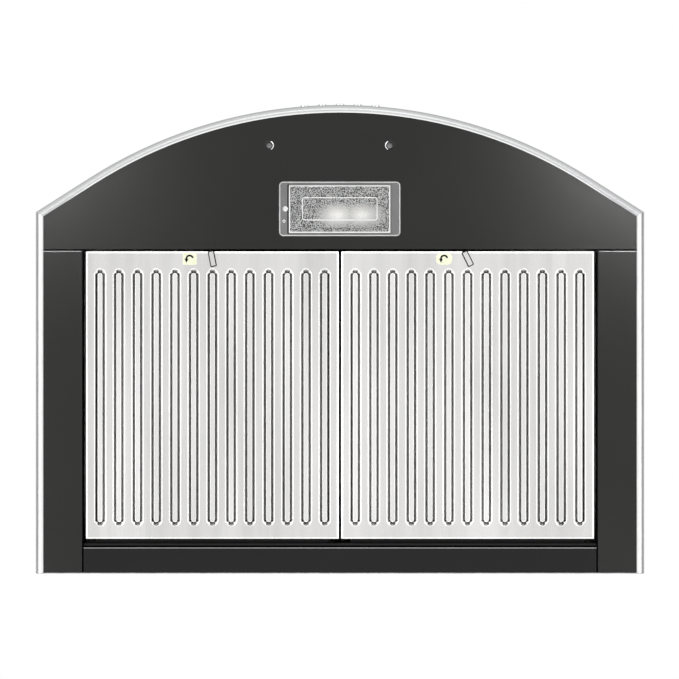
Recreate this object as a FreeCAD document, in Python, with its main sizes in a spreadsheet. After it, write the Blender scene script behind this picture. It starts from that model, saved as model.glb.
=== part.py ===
import FreeCAD, Part

# Curved-front chimney range hood: a sheet-metal canopy with two hinged baffle filters, a lamp, push
# buttons, a double-inlet blower, a damped outlet and a telescoping chimney cover. Millimetres.
# The origin is on the wall at the middle of the lower back edge: +X is to the right of someone who
# faces the hood, +Y goes into the wall and +Z is up.

import math
import os
import re

import Sketcher
from FreeCAD import Placement, Rotation, Vector

SIZES = {
    # plan of the hood
    "hood_width": 750,
    "side_depth": 445,
    "arc_radius": 574,
    "front_end": 67,
    # canopy sheet metal
    "sheet": 1,
    "lip_radius": 8,
    "lip_flange": 2,
    "band_height": 56,
    "seam_gap": 0.3,
    "hem_height": 14,
    # chimney plan and wall fixing
    "chimney_width": 280,
    "chimney_depth": 262,
    "fixing_radius": 4,
    "upper_fixing_inset": 30,
    "upper_fixing_drop": 45,
    "lower_fixing_inset": 135,
    "lower_fixing_rise": 29,
    # blower neck through the top plate
    "scroll_width": 130,
    "scroll_wall": 1,
    "neck_depth": 100,
    # underside panels
    "front_margin": 45.7,
    "rail_width": 51,
    "rail_height": 24,
    "rear_rail_depth": 32,
    "notch_width": 26,
    "notch_shift": 4,
    "dish_radius": 6.5,
    "dish_seat": 3.8,
    "dish_depth": 1.6,
    "panel_screw_radius": 2,
    "panel_screw_left": 87.2,
    "panel_screw_right": 61.3,
    "panel_screw_inset": 50.4,
    # lamp
    "lens_length": 149,
    "lens_breadth": 66.8,
    "lens_thickness": 3,
    "lens_corner": 5,
    "lens_x": -0.3,
    "lens_margin": 16.1,
    "lens_gap": 0.6,
    # filters
    "filter_side_gap": 2.3,
    "filter_rear_gap": 10,
    "filter_gap": 2.2,
    "filter_front_gap": 2.3,
    "filter_drop": 3,
    "filter_sheet": 0.8,
    "filter_depth": 14,
    "filter_return": 6,
    "slot_count": 13,
    "slot_margin": 17.7,
    "slot_width": 11,
    "slot_end": 20.5,
    "slot_collar": 4,
    "slot_shift": 3,
    "baffle_level": 8,
    "baffle_strip": 15.5,
    "bead_width": 6.4,
    "bead_drop": 5.5,
    "bead_short": 3.2,
    "gap_short": 8,
    # rear hook of a filter in the rear rail's trough
    "hinge_height": 9,
    "hook_radius": 2.5,
    "hook_gap": 0.3,
    # turn latches
    "latch_shaft_radius": 2.5,
    "latch_running_gap": 0.08,
    "latch_inset": 9.5,
    "handle_length": 20,
    "handle_width": 8,
    "handle_thickness": 1.5,
    "left_handle_tilt": 11,
    "right_handle_tilt": 26,
    "tongue_length": 16,
    "tongue_width": 8,
    "tongue_thickness": 1.2,
    "clearance": 0.3,
    # lens, lamp housing and bulb
    "ridge_end": 28,
    "ridge_side": 20.5,
    "ridge_width": 1.5,
    "ridge_height": 0.6,
    "lens_hollow": 1.8,
    "lens_end_band": 13,
    "lens_side_band": 4,
    "lens_screw_inset": 7.5,
    "lens_screw_radius": 1.6,
    "lens_screw_length": 12,
    "lens_screw_head": 3.2,
    "screw_dome": 1.2,
    "lamp_height": 56,
    "lamp_flange": 8,
    "lamp_axis_height": 31,
    "lamp_axis_shift": 5,
    "socket_radius": 13,
    "socket_length": 26,
    "socket_bore_depth": 18,
    "bulb_base_radius": 7,
    "bulb_base_length": 26,
    "bulb_radius": 16,
    "bulb_neck_length": 18,
    "bulb_length": 100,
    "panel_screw_length": 14,
    "panel_screw_head": 3.4,
    # push buttons and the block behind them
    "button_count": 5,
    "button_pitch": 22,
    "button_height": 32,
    "button_radius": 5.5,
    "button_proud": 3.5,
    "button_cap_length": 10,
    "button_edge": 1,
    "button_stem_radius": 3,
    "button_stem_length": 12,
    "button_bore_depth": 14,
    "block_gap": 12,
    "block_depth": 50,
    "block_height": 44,
    "block_margin": 10,
    # blower
    "plenum_height": 43,
    "scroll_radius": 100,
    "scroll_step": 10,
    "throat_height": 17,
    "inlet_lap": 3,
    "impeller_gap": 15,
    "blade_depth": 14,
    "impeller_side_gap": 7,
    "impeller_disc": 1.5,
    "impeller_ring": 2,
    "blade_count": 32,
    "blade_thickness": 1,
    "blade_lean": 7,
    "hub_radius": 10,
    "hub_width": 24,
    "shaft_radius": 4,
    "shaft_running_gap": 0.05,
    "shaft_length": 92,
    "motor_radius": 40,
    "motor_length": 64,
    "motor_boss_radius": 14,
    "motor_boss_length": 6,
    "motor_cap_radius": 22,
    "motor_cap_length": 10,
    "hub_motor_gap": 2,
    "bracket_wall": 5,
    "bracket_width": 8,
    "arm_count": 3,
    "arm_width": 14,
    "arm_thickness": 4,
    "arm_foot": 12,
    "capacitor_radius": 16,
    "capacitor_length": 55,
    "capacitor_rise": 70,
    # outlet collar and damper
    "collar_radius": 75,
    "collar_wall": 1,
    "collar_height": 45,
    "collar_flange": 17,
    "collar_flange_thickness": 1.5,
    "pin_radius": 2,
    "pin_height": 30,
    "pin_running_gap": 0.05,
    "flap_thickness": 0.8,
    "flap_gap": 1.5,
    "knuckle_wall": 1.4,
    "knuckle_length": 18,
    "knuckle_pitch": 20,
    "stop_width": 10,
    "stop_depth": 6,
    # terminal box and gland
    "terminal_gap": 5,
    "terminal_length": 90,
    "terminal_height": 50,
    "terminal_margin": 4,
    "gland_radius": 7,
    "gland_nut_radius": 10,
    "gland_nut_height": 6,
    "gland_height": 14,
    "gland_bore": 4,
    # telescoping chimney cover
    "chimney_height": 400,
    "upper_chimney_rest": 30,
    "chimney_return": 15,
    "chimney_slide_gap": 0.5,
    "wall_bracket_thickness": 1.2,
    "wall_bracket_height": 25,
    "wall_bracket_tab": 26,
    "wall_bracket_step": 7,
    "bracket_fixing_inset": 28,
    "bracket_fixing_radius": 3,
    "chimney_screw_drop": 12,
    "chimney_screw_radius": 2,
    "chimney_screw_head": 3.6,
    "chimney_screw_length": 8,
}

# Sizes that follow from the ones above
FOLLOWS = {
    "arc_half_chord": "hood_width / 2 - front_end",
    "arc_angle": "asin(arc_half_chord / arc_radius)",
    "hood_depth": "side_depth + arc_radius * (1 - cos(arc_angle)) + front_end * tan(arc_angle)",
    "seam_depth": "side_depth - front_margin",
    "rail_inner": "hood_width / 2 - lip_radius - seam_gap - rail_width",
    "panel_screw_depth": "hood_depth - panel_screw_inset",
    "lens_y": "-seam_depth - lens_margin - lens_breadth / 2",
    "ridge_length": "lens_length - 2 * ridge_end",
    "ridge_breadth": "lens_breadth - 2 * ridge_side",
    "filter_width": "rail_inner - filter_side_gap - filter_gap / 2",
    "filter_length": "seam_depth - filter_front_gap - rear_rail_depth - filter_rear_gap",
    "slot_pitch": "(filter_width - 2 * slot_margin) / (slot_count - 1)",
    "slot_length": "filter_length - 2 * slot_end",
    "impeller_radius": "scroll_radius - impeller_gap",
    "impeller_inner": "impeller_radius - blade_depth",
    "impeller_width": "scroll_width - 2 * impeller_side_gap",
    "inlet_radius": "impeller_inner - inlet_lap",
    "arm_reach": "inlet_radius + arm_foot",
    "blower_height": "plenum_height + scroll_radius + 1.5 * scroll_step",
    "canopy_height": "blower_height + scroll_radius - scroll_step / 2 + throat_height",
    "upper_fixing_x": "chimney_width / 2 - upper_fixing_inset",
    "upper_fixing_z": "canopy_height - upper_fixing_drop",
    "lower_fixing_x": "hood_width / 2 - lower_fixing_inset",
    "lower_fixing_z": "band_height + lower_fixing_rise",
    "terminal_width": "chimney_width / 2 - sheet - terminal_margin"
    " - collar_radius - collar_flange - terminal_gap",
    "wall_bracket_foot": "chimney_width / 2 - chimney_return - wall_bracket_step",
    "bracket_fixing_x": "wall_bracket_foot - bracket_fixing_inset",
}

RIGHT = Vector(1, 0, 0)
BACK = Vector(0, 1, 0)
UP = Vector(0, 0, 1)

doc = FreeCAD.newDocument("range_hood")
sheet = doc.addObject("Spreadsheet::Sheet", "Sizes")
for row, (alias, value) in enumerate(SIZES.items(), start=1):
    sheet.set(f"A{row}", alias)
    sheet.set(f"B{row}", str(value))
    sheet.setAlias(f"B{row}", alias)
doc.recompute()

pieces = []


def sized(text):
    """Put the sheet's name before each size in an expression, and write out those that follow from others."""

    def named(word):
        if word[0] in FOLLOWS:
            return f"({sized(FOLLOWS[word[0]])})"
        return f"Sizes.{word[0]}" if word[0] in SIZES else word[0]

    return re.sub(r"[a-z_]+", named, str(text))


def number(text):
    """Work out an expression's value now."""
    return float(sheet.evalExpression(sized(text)))


def bind(thing, **sizes):
    """Tie properties to expressions of the sheet's sizes."""
    for name, text in sizes.items():
        thing.setExpression(name, sized(text))
    return thing


def place(thing, x=0, y=0, z=0):
    """Tie a thing's place to expressions, leaving its rotation alone."""
    for axis, text in zip("xyz", (x, y, z)):
        thing.setExpression(f"Placement.Base.{axis}", sized(text))
    return thing


def keep(thing, label):
    """Name a finished piece and list it for writing."""
    thing.Label = label
    pieces.append(thing)
    return thing


def box(x, y, z, length, width, height):
    """A plain block from its lowest corner."""
    return place(bind(doc.addObject("Part::Box"), Length=length, Width=width, Height=height), x, y, z)


def rod(axis, x, y, z, radius, length):
    """A plain cylinder from the centre of its first end."""
    cylinder = bind(doc.addObject("Part::Cylinder"), Radius=radius, Height=length)
    cylinder.Placement = Placement(Vector(), Rotation(UP, axis))
    return place(cylinder, x, y, z)


def fuse(*shapes):
    """One piece from several that meet."""
    whole = doc.addObject("Part::MultiFuse")
    whole.Shapes = list(shapes)
    whole.Refine = True
    return whole


def cut(base, *tools):
    """A piece less its tools."""
    rest = doc.addObject("Part::Cut")
    rest.Base = base
    rest.Tool = tools[0] if len(tools) == 1 else fuse(*tools)
    return rest


def add_loop(sketch, corners, closed=True):
    """Draw straight edges and arcs from corner to corner, each corner tied to its expressions.

    A corner is (x, y), or (x, y, radius, turn) where an arc leaves it, turning left (1) or right (-1).
    """
    first = sketch.GeometryCount
    spots = [Vector(number(corner[0]), number(corner[1]), 0) for corner in corners]
    edges = len(corners) if closed else len(corners) - 1
    ends = []
    for index in range(edges):
        start = spots[index]
        end = spots[(index + 1) % len(spots)]
        if len(corners[index]) == 2:
            sketch.addGeometry(Part.LineSegment(start, end))
            ends.append((1, 2))
            continue
        radius = number(corners[index][2])
        turn = corners[index][3]
        chord = end - start
        reach = math.sqrt(max(radius ** 2 - (chord.Length / 2) ** 2, 0)) * turn
        centre = start + chord / 2 + Vector(-chord.y, chord.x, 0).normalize() * reach
        low, high = (start, end) if turn > 0 else (end, start)
        circle = Part.Circle(centre, UP, radius)
        sketch.addGeometry(Part.ArcOfCircle(circle, circle.parameter(low), circle.parameter(high)))
        ends.append((1, 2) if turn > 0 else (2, 1))
    for index in range(edges - (0 if closed else 1)):
        after = (index + 1) % edges
        joint = ("Coincident", first + index, ends[index][1], first + after, ends[after][0])
        sketch.addConstraint(Sketcher.Constraint(*joint))
    for index, corner in enumerate(corners):
        edge = min(index, edges - 1)
        spot = ends[edge][0] if index < edges else ends[edge][1]
        for kind, text, value in zip(("DistanceX", "DistanceY"), corner, spots[index]):
            mark = sketch.addConstraint(Sketcher.Constraint(kind, -1, 1, first + edge, spot, value))
            sketch.setExpression(f"Constraints[{mark}]", sized(text))
        if len(corner) > 2:
            tie_arc(sketch, first + edge, corner, corners[(index + 1) % len(corners)])


def tie_arc(sketch, edge, corner, after):
    """Tie an arc by its radius, or a half circle by its centre between its two ends."""
    start, end = ((number(spot[0]), number(spot[1])) for spot in (corner, after))
    if math.dist(start, end) < 1.999 * number(corner[2]):
        mark = sketch.addConstraint(Sketcher.Constraint("Radius", edge, number(corner[2])))
        sketch.setExpression(f"Constraints[{mark}]", sized(corner[2]))
        return
    axis = 1 if abs(end[0] - start[0]) > abs(end[1] - start[1]) else 0
    middle = f"(({corner[axis]}) + ({after[axis]})) / 2"
    kind = ("DistanceX", "DistanceY")[axis]
    mark = sketch.addConstraint(Sketcher.Constraint(kind, -1, 1, edge, 3, number(middle)))
    sketch.setExpression(f"Constraints[{mark}]", sized(middle))


def add_circle(sketch, x, y, radius):
    """Draw a circle tied to its expressions."""
    mark = sketch.addGeometry(Part.Circle(Vector(number(x), number(y), 0), UP, number(radius)))
    for kind, text in (("DistanceX", x), ("DistanceY", y)):
        rule = sketch.addConstraint(Sketcher.Constraint(kind, -1, 1, mark, 3, number(text)))
        sketch.setExpression(f"Constraints[{rule}]", sized(text))
    rule = sketch.addConstraint(Sketcher.Constraint("Radius", mark, number(radius)))
    sketch.setExpression(f"Constraints[{rule}]", sized(radius))


def rectangle(x, y, width, height):
    """The corners of a rectangle about its centre."""
    half_width, half_height = f"({width}) / 2", f"({height}) / 2"
    signs = (("-", "-"), ("+", "-"), ("+", "+"), ("-", "+"))
    return [(f"{x} {across} {half_width}", f"{y} {along} {half_height}") for across, along in signs]


def slot(x, y, width, length):
    """The corners of a slot along the second axis with round ends, about its centre."""
    half, straight = f"({width}) / 2", f"(({length}) - ({width})) / 2"
    return [
        (f"{x} + {half}", f"{y} - {straight}"),
        (f"{x} + {half}", f"{y} + {straight}", half, 1),
        (f"{x} - {half}", f"{y} + {straight}"),
        (f"{x} - {half}", f"{y} - {straight}", half, 1),
    ]


def new_body():
    """An empty body for one piece."""
    return doc.addObject("PartDesign::Body")


def draw(body, plane, *loops, circles=(), level=0, closed=True):
    """Sketch closed loops and circles on one of the body's own base planes, moved out by a level."""
    sketch = body.newObject("Sketcher::SketchObject")
    base = next(part for part in body.Origin.OriginFeatures if part.Role == f"{plane}_Plane")
    sketch.AttachmentSupport = (base, [""])
    sketch.MapMode = "FlatFace"
    sketch.setExpression("AttachmentOffset.Base.z", sized(level))
    for loop in loops:
        add_loop(sketch, loop, closed)
    for circle in circles:
        add_circle(sketch, *circle)
    return sketch


def pad(body, sketch, length, reverse=False, both=False):
    """Grow a sketch into the body; both grows it half each way."""
    feature = body.newObject("PartDesign::Pad")
    feature.Profile = sketch
    feature.Reversed = reverse
    feature.SideType = "Symmetric" if both else "One side"
    return bind(feature, Length=length)


def pocket(body, sketch, length, reverse=False, both=False):
    """Sink a sketch into the body; both sinks it half each way."""
    feature = body.newObject("PartDesign::Pocket")
    feature.Profile = sketch
    feature.Reversed = reverse
    feature.SideType = "Symmetric" if both else "One side"
    return bind(feature, Length=length)


def revolve(body, sketch, axis="V_Axis"):
    """Turn a sketch a whole turn about one of its own axes."""
    feature = body.newObject("PartDesign::Revolution")
    feature.Profile = sketch
    feature.ReferenceAxis = (sketch, [axis])
    feature.Angle = 360
    return feature


def repeat_in_line(body, features, sketch, axis, length, count):
    """Repeat features along one of a sketch's own axes over a length."""
    pattern = body.newObject("PartDesign::LinearPattern")
    pattern.Originals = features
    pattern.Direction = (sketch, [axis])
    bind(pattern, Length=length, Occurrences=count)
    body.Tip = pattern
    return pattern


def repeat_round(body, features, sketch, axis, count):
    """Repeat features evenly round one of a sketch's own axes."""
    pattern = body.newObject("PartDesign::PolarPattern")
    pattern.Originals = features
    pattern.Axis = (sketch, [axis])
    pattern.Angle = 360
    bind(pattern, Occurrences=count)
    body.Tip = pattern
    return pattern


def mirror(body, features, role):
    """Mirror features about one of the body's own base planes."""
    pattern = body.newObject("PartDesign::Mirrored")
    pattern.Originals = features
    base = next(part for part in body.Origin.OriginFeatures if part.Role == role)
    pattern.MirrorPlane = (base, [""])
    body.Tip = pattern
    return pattern


# Plan outline: straight sides, straight front ends and a wide arc tangent to them
ARC_CENTRE = "(arc_radius - hood_depth)"
MITRE_SLOPE = "((1 - sin(arc_angle)) / cos(arc_angle))"


def tangent_point(inset):
    """Where the arc meets its straight end on the right, moved in by an inset."""
    radius = f"(arc_radius - ({inset}))"
    return f"({radius} * sin(arc_angle))", f"({ARC_CENTRE} - {radius} * cos(arc_angle))"


def corner_point(inset):
    """Where the straight end meets the right side, moved in by an inset."""
    x, y = tangent_point(inset)
    side = f"(hood_width / 2 - ({inset}))"
    return side, f"({y} + ({side} - {x}) * tan(arc_angle))"


def front_outline(inset):
    """The curved front from the left corner to the right one, moved in by an inset."""
    corner_x, corner_y = corner_point(inset)
    tangent_x, tangent_y = tangent_point(inset)
    return [
        (f"-{corner_x}", corner_y),
        (f"-{tangent_x}", tangent_y, f"arc_radius - ({inset})", 1),
        (tangent_x, tangent_y),
        (corner_x, corner_y),
    ]


def band_profile(position):
    """Section of a band with its quarter-round lip; position turns an inset into a coordinate."""
    lip_end = position("lip_radius + lip_flange")
    turn = 1 if number(position("1")) > number(position("0")) else -1
    return [
        (position("0"), "band_height"),
        (position("0"), "lip_radius", "lip_radius", turn),
        (position("lip_radius"), "0"),
        (lip_end, "0"),
        (lip_end, "sheet"),
        (position("lip_radius"), "sheet", "lip_radius - sheet", -turn),
        (position("sheet"), "lip_radius"),
        (position("sheet"), "band_height"),
    ]


def mitre(sign, outside):
    """The plan area past the corner's mitre line that a band gives up to its neighbour."""
    corner_x, corner_y = corner_point("0")
    reach = "4 * lip_radius"
    far = (f"{sign}({corner_x} - {reach})", f"{corner_y} + {reach} * {MITRE_SLOPE}")
    past = (f"{sign}({corner_x} + {reach})", f"{corner_y} - {reach} * {MITRE_SLOPE}")
    if outside == "front":
        return [far, past, (past[0], f"{past[1]} - 2 * {reach}"), (far[0], f"{past[1]} - 2 * {reach}")]
    return [far, past, (past[0], f"{far[1]} + 2 * {reach}"), (far[0], f"{far[1]} + 2 * {reach}")]


def make_front_band():
    """The curved front band: its section swept along half the arc and a straight end, then mirrored."""
    body = new_body()
    profile = draw(body, "YZ", band_profile(lambda inset: f"-hood_depth + ({inset})"))
    apex = ("0", "-hood_depth", "arc_radius", 1)
    path = draw(body, "XY", [apex, tangent_point("0"), corner_point("0")], closed=False)
    pipe = body.newObject("PartDesign::AdditivePipe")
    pipe.Profile = profile
    pipe.Spine = (path, [])
    mirror(body, [pipe], "YZ_Plane")
    pocket(body, draw(body, "XY", mitre("", "side"), mitre("-", "side")), "2 * band_height", both=True)
    hole = "button_radius + clearance"
    holes = [(button_x(index), "button_height", hole) for index in range(len(BUTTON_LABELS))]
    pocket(body, draw(body, "XZ", circles=holes), "2 * hood_depth + 2 * lip_radius", both=True)
    return keep(body, "front_band")


def make_side_band(label, sign):
    """A straight side band from the back panel to the mitred front corner."""
    body = new_body()
    section = draw(
        body, "XZ", band_profile(lambda inset: f"{sign}(hood_width / 2 - ({inset}))"), level="sheet"
    )
    pad(body, section, "side_depth - sheet")
    pocket(body, draw(body, "XY", mitre(sign, "front")), "2 * band_height", both=True)
    return keep(body, label)


def loft(body, lower, upper):
    """Join two sketches by straight lines from edge to edge."""
    feature = body.newObject("PartDesign::AdditiveLoft")
    feature.Profile = lower
    feature.Sections = [upper]
    feature.Ruled = True
    return feature


# Pyramid panels: each runs from the top of its band to one side of the chimney's foot
FOOT_X = "chimney_width / 2"
FOOT_Y = "-chimney_depth"
FOOT_TANGENT = "(chimney_width * arc_half_chord / hood_width)"


def make_canopy_front():
    """The sloping front panel: the arc below eases into the chimney's straight front above."""
    body = new_body()
    outer = front_outline("0")
    corner_x, corner_y = corner_point("sheet")
    tangent_x, tangent_y = tangent_point("sheet")
    inner = [
        (corner_x, corner_y),
        (tangent_x, tangent_y, "arc_radius - sheet", -1),
        (f"-{tangent_x}", tangent_y),
        (f"-{corner_x}", corner_y),
    ]
    foot = [f"-{FOOT_X}", f"-{FOOT_TANGENT}", FOOT_TANGENT, FOOT_X]
    foot_outer = [(x, FOOT_Y) for x in foot]
    foot_inner = [
        (f"{FOOT_X} - sheet", f"{FOOT_Y} + sheet"),
        (FOOT_TANGENT, f"{FOOT_Y} + sheet"),
        (f"-{FOOT_TANGENT}", f"{FOOT_Y} + sheet"),
        (f"-{FOOT_X} + sheet", f"{FOOT_Y} + sheet"),
    ]
    lower = draw(body, "XY", outer + inner, level="band_height")
    upper = draw(body, "XY", foot_outer + foot_inner, level="canopy_height")
    loft(body, lower, upper)
    return keep(body, "canopy_front")


def make_canopy_side(label, sign):
    """A flat sloping side panel, mitred to the front panel and square to the back."""
    body = new_body()
    outer_x, outer_y = corner_point("0")
    inner_x, inner_y = corner_point("sheet")
    lower = [
        (f"{sign}{outer_x}", outer_y),
        (f"{sign}{outer_x}", "-sheet"),
        (f"{sign}{inner_x}", "-sheet"),
        (f"{sign}{inner_x}", inner_y),
    ]
    upper = [
        (f"{sign}{FOOT_X}", FOOT_Y),
        (f"{sign}{FOOT_X}", "-sheet"),
        (f"{sign}({FOOT_X} - sheet)", "-sheet"),
        (f"{sign}({FOOT_X} - sheet)", f"{FOOT_Y} + sheet"),
    ]
    loft(body, draw(body, "XY", lower, level="band_height"), draw(body, "XY", upper, level="canopy_height"))
    return keep(body, label)


def make_back_panel():
    """The flat panel against the wall, with two pairs of holes for wall screws."""
    body = new_body()
    side = "hood_width / 2"
    edge = [
        (f"-{side}", "lip_radius", "lip_radius", 1),
        (f"-{side} + lip_radius", "0"),
        (f"{side} - lip_radius", "0", "lip_radius", 1),
        (side, "lip_radius"),
        (side, "band_height"),
        (FOOT_X, "canopy_height"),
        (f"-{FOOT_X}", "canopy_height"),
        (f"-{side}", "band_height"),
    ]
    holes = [
        (f"{sign}{pair}_fixing_x", f"{pair}_fixing_z", "fixing_radius")
        for pair in ("upper", "lower")
        for sign in ("-", "")
    ]
    pad(body, draw(body, "XZ", edge, circles=holes), "sheet")
    return keep(body, "back_panel")


def make_top_plate():
    """The plate that closes the pyramid and carries the outlet, with the blower's neck through it."""
    body = new_body()
    middle = "-chimney_depth / 2"
    edge = rectangle("0", middle, "chimney_width", "chimney_depth")
    neck = rectangle("0", middle, "scroll_width - 2 * scroll_wall", "neck_depth - 2 * scroll_wall")
    pad(body, draw(body, "XY", edge, neck, level="canopy_height"), "sheet")
    return keep(body, "top_plate")


# Underside: flat black panels that lie on the lip's inner flange
PANEL_SIDE = "(hood_width / 2 - lip_radius - seam_gap)"
PANEL_TOP = "2 * sheet"
LENS_TOP = "(sheet + lens_thickness)"
PANEL_SCREWS = ("-panel_screw_left", "panel_screw_right")


def round_rectangle(x, y, length, breadth, radius):
    """The corners of a rectangle with round corners, about its centre."""
    half_x, half_y = f"({length}) / 2", f"({breadth}) / 2"
    return [
        (f"{x} + {half_x}", f"{y} - {half_y} + ({radius})"),
        (f"{x} + {half_x}", f"{y} + {half_y} - ({radius})", radius, 1),
        (f"{x} + {half_x} - ({radius})", f"{y} + {half_y}"),
        (f"{x} - {half_x} + ({radius})", f"{y} + {half_y}", radius, 1),
        (f"{x} - {half_x}", f"{y} + {half_y} - ({radius})"),
        (f"{x} - {half_x}", f"{y} - {half_y} + ({radius})", radius, 1),
        (f"{x} - {half_x} + ({radius})", f"{y} - {half_y}"),
        (f"{x} + {half_x} - ({radius})", f"{y} - {half_y}", radius, 1),
    ]


def cone(body, kind, x, y, z, low, high, height):
    """A cone about the upright axis at a place in the body."""
    feature = body.newObject(f"PartDesign::{kind}Cone")
    bind(feature, Radius1=low, Radius2=high, Height=height)
    return place(feature, x, y, z)


def make_front_panel():
    """The curved front underside panel: lamp window, two dished screw seats and a notched hem."""
    body = new_body()
    rear = [(f"{sign}{PANEL_SIDE}", "-seam_depth") for sign in ("-", "")]
    edge = rear[:1] + front_outline("lip_radius + seam_gap") + rear[1:]
    window_size = ("lens_length + 2 * lens_gap", "lens_breadth + 2 * lens_gap")
    window = round_rectangle("lens_x", "lens_y", *window_size, "lens_corner + lens_gap")
    pad(body, draw(body, "XY", edge, window, level="sheet"), "sheet")
    hem_side = f"({PANEL_SIDE} - lip_flange - sheet)"
    notch_left = "(notch_shift - notch_width / 2)"
    notch_right = "(notch_shift + notch_width / 2)"
    latch = "(filter_gap / 2 + filter_width / 2)"
    spans = [
        (f"-{hem_side}", f"-{latch} + {notch_left}"),
        (f"-{latch} + {notch_right}", f"{latch} + {notch_left}"),
        (f"{latch} + {notch_right}", hem_side),
    ]
    front, back = "-seam_depth - sheet", "-seam_depth"
    strips = [[(low, front), (high, front), (high, back), (low, back)] for low, high in spans]
    pad(body, draw(body, "XY", *strips, level=PANEL_TOP), "hem_height")
    for x in PANEL_SCREWS:
        spot = (x, "-panel_screw_depth", "sheet")
        cone(body, "Additive", *spot, "dish_radius + sheet", "dish_seat + sheet", "dish_depth + sheet")
        cone(body, "Subtractive", *spot, "dish_radius", "dish_seat", "dish_depth")
    holes = [(x, "-panel_screw_depth", "panel_screw_radius + clearance") for x in PANEL_SCREWS]
    pocket(body, draw(body, "XY", circles=holes), "2 * hem_height", both=True)
    return keep(body, "front_panel")


def make_side_rail(label, sign):
    """A side rail: a flat strip on the lip flange with a fold up beside the filters."""
    body = new_body()
    section = [
        (f"{sign}rail_inner", "sheet"),
        (f"{sign}{PANEL_SIDE}", "sheet"),
        (f"{sign}{PANEL_SIDE}", PANEL_TOP),
        (f"{sign}(rail_inner + sheet)", PANEL_TOP),
        (f"{sign}(rail_inner + sheet)", "sheet + rail_height"),
        (f"{sign}rail_inner", "sheet + rail_height"),
    ]
    pad(body, draw(body, "XZ", section, level="sheet"), "seam_depth - seam_gap - sheet")
    return keep(body, label)


HINGE_Y = "(-rear_rail_depth - hook_radius - hook_gap)"


def make_rear_rail():
    """The rear rail: a folded strip with a half-round trough where the filters' hooks turn."""
    body = new_body()
    section = [
        ("-sheet", "sheet"),
        ("-sheet", "hem_height"),
        ("-2 * sheet", "hem_height"),
        ("-2 * sheet", PANEL_TOP),
        ("-rear_rail_depth + sheet", PANEL_TOP),
        ("-rear_rail_depth + sheet", "hinge_height"),
        ("-rear_rail_depth", "hinge_height"),
        ("-rear_rail_depth", "sheet"),
    ]
    inner = "(hook_radius + hook_gap)"
    outer = "(hook_radius + hook_gap + sheet)"
    trough = [
        (f"{HINGE_Y} + {outer}", "hinge_height", outer, -1),
        (f"{HINGE_Y} - {outer}", "hinge_height"),
        (f"{HINGE_Y} - {inner}", "hinge_height", inner, 1),
        (f"{HINGE_Y} + {inner}", "hinge_height"),
    ]
    length = "2 * (rail_inner - seam_gap)"
    pad(body, draw(body, "YZ", section), length, both=True)
    pad(body, draw(body, "YZ", trough), length, both=True)
    return keep(body, "rear_rail")


# Filters: a frame that hooks into the rear rail, a slotted face and baffle strips behind the slots
FILTER_X = "(filter_gap / 2 + filter_width / 2)"
FILTER_Y = "(-seam_depth + filter_front_gap + filter_length / 2)"
LATCH_Y = "(-filter_length / 2 + latch_inset)"
FIRST_SLOT = "(-(slot_count - 1) / 2 * slot_pitch)"


def make_filter_face(label, sign):
    """The slotted face sheet: each slot has a drawn collar on its inner side."""
    body = new_body()
    hole = ("0", LATCH_Y, "latch_shaft_radius + latch_running_gap")
    edge = rectangle("0", "0", "filter_width", "filter_length")
    pad(body, draw(body, "XY", edge, circles=[hole]), "filter_sheet")
    collar = slot(FIRST_SLOT, "slot_shift", "slot_width + 2 * filter_sheet", "slot_length + 2 * filter_sheet")
    opening = slot(FIRST_SLOT, "slot_shift", "slot_width", "slot_length")
    collar_sketch = draw(body, "XY", collar, level="filter_sheet")
    drawn = pad(body, collar_sketch, "slot_collar")
    sunk = pocket(body, draw(body, "XY", opening), "4 * slot_collar", both=True)
    span = "(slot_count - 1) * slot_pitch"
    repeat_in_line(body, [drawn, sunk], collar_sketch, "H_Axis", span, "slot_count")
    place(body, f"{sign}{FILTER_X}", FILTER_Y, "filter_drop")
    return keep(body, label)


def make_filter_baffles(label, sign):
    """The rear sheet: a strip with a hollow bead hangs over each slot, and air leaves between strips."""
    body = new_body()
    inside = "2 * (filter_sheet + clearance)"
    edge = rectangle("0", "0", f"filter_width - {inside}", f"filter_length - {inside}")
    pad(body, draw(body, "XY", edge, level="baffle_level"), "filter_sheet")
    bead_length = "slot_length - 2 * bead_short"
    bead_low = "(baffle_level - bead_drop)"
    bead = draw(body, "XY", slot(FIRST_SLOT, "slot_shift", "bead_width", bead_length), level=bead_low)
    walls = "2 * filter_sheet"
    inner = slot(FIRST_SLOT, "slot_shift", f"bead_width - {walls}", f"{bead_length} - {walls}")
    hollow = draw(body, "XY", inner, level=f"{bead_low} + filter_sheet")
    solid = pad(body, bead, "bead_drop")
    sunk = pocket(body, hollow, "bead_drop + filter_sheet", reverse=True)
    repeat_in_line(body, [solid, sunk], bead, "H_Axis", "(slot_count - 1) * slot_pitch", "slot_count")
    gap_size = ("slot_pitch - baffle_strip", "slot_length - 2 * gap_short")
    gap = rectangle(f"{FIRST_SLOT} + slot_pitch / 2", "slot_shift", *gap_size)
    gap_sketch = draw(body, "XY", gap, level="baffle_level")
    way = pocket(body, gap_sketch, "4 * filter_sheet", both=True)
    repeat_in_line(body, [way], gap_sketch, "H_Axis", "(slot_count - 2) * slot_pitch", "slot_count - 1")
    place(body, f"{sign}{FILTER_X}", FILTER_Y, "filter_drop")
    return keep(body, label)


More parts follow.
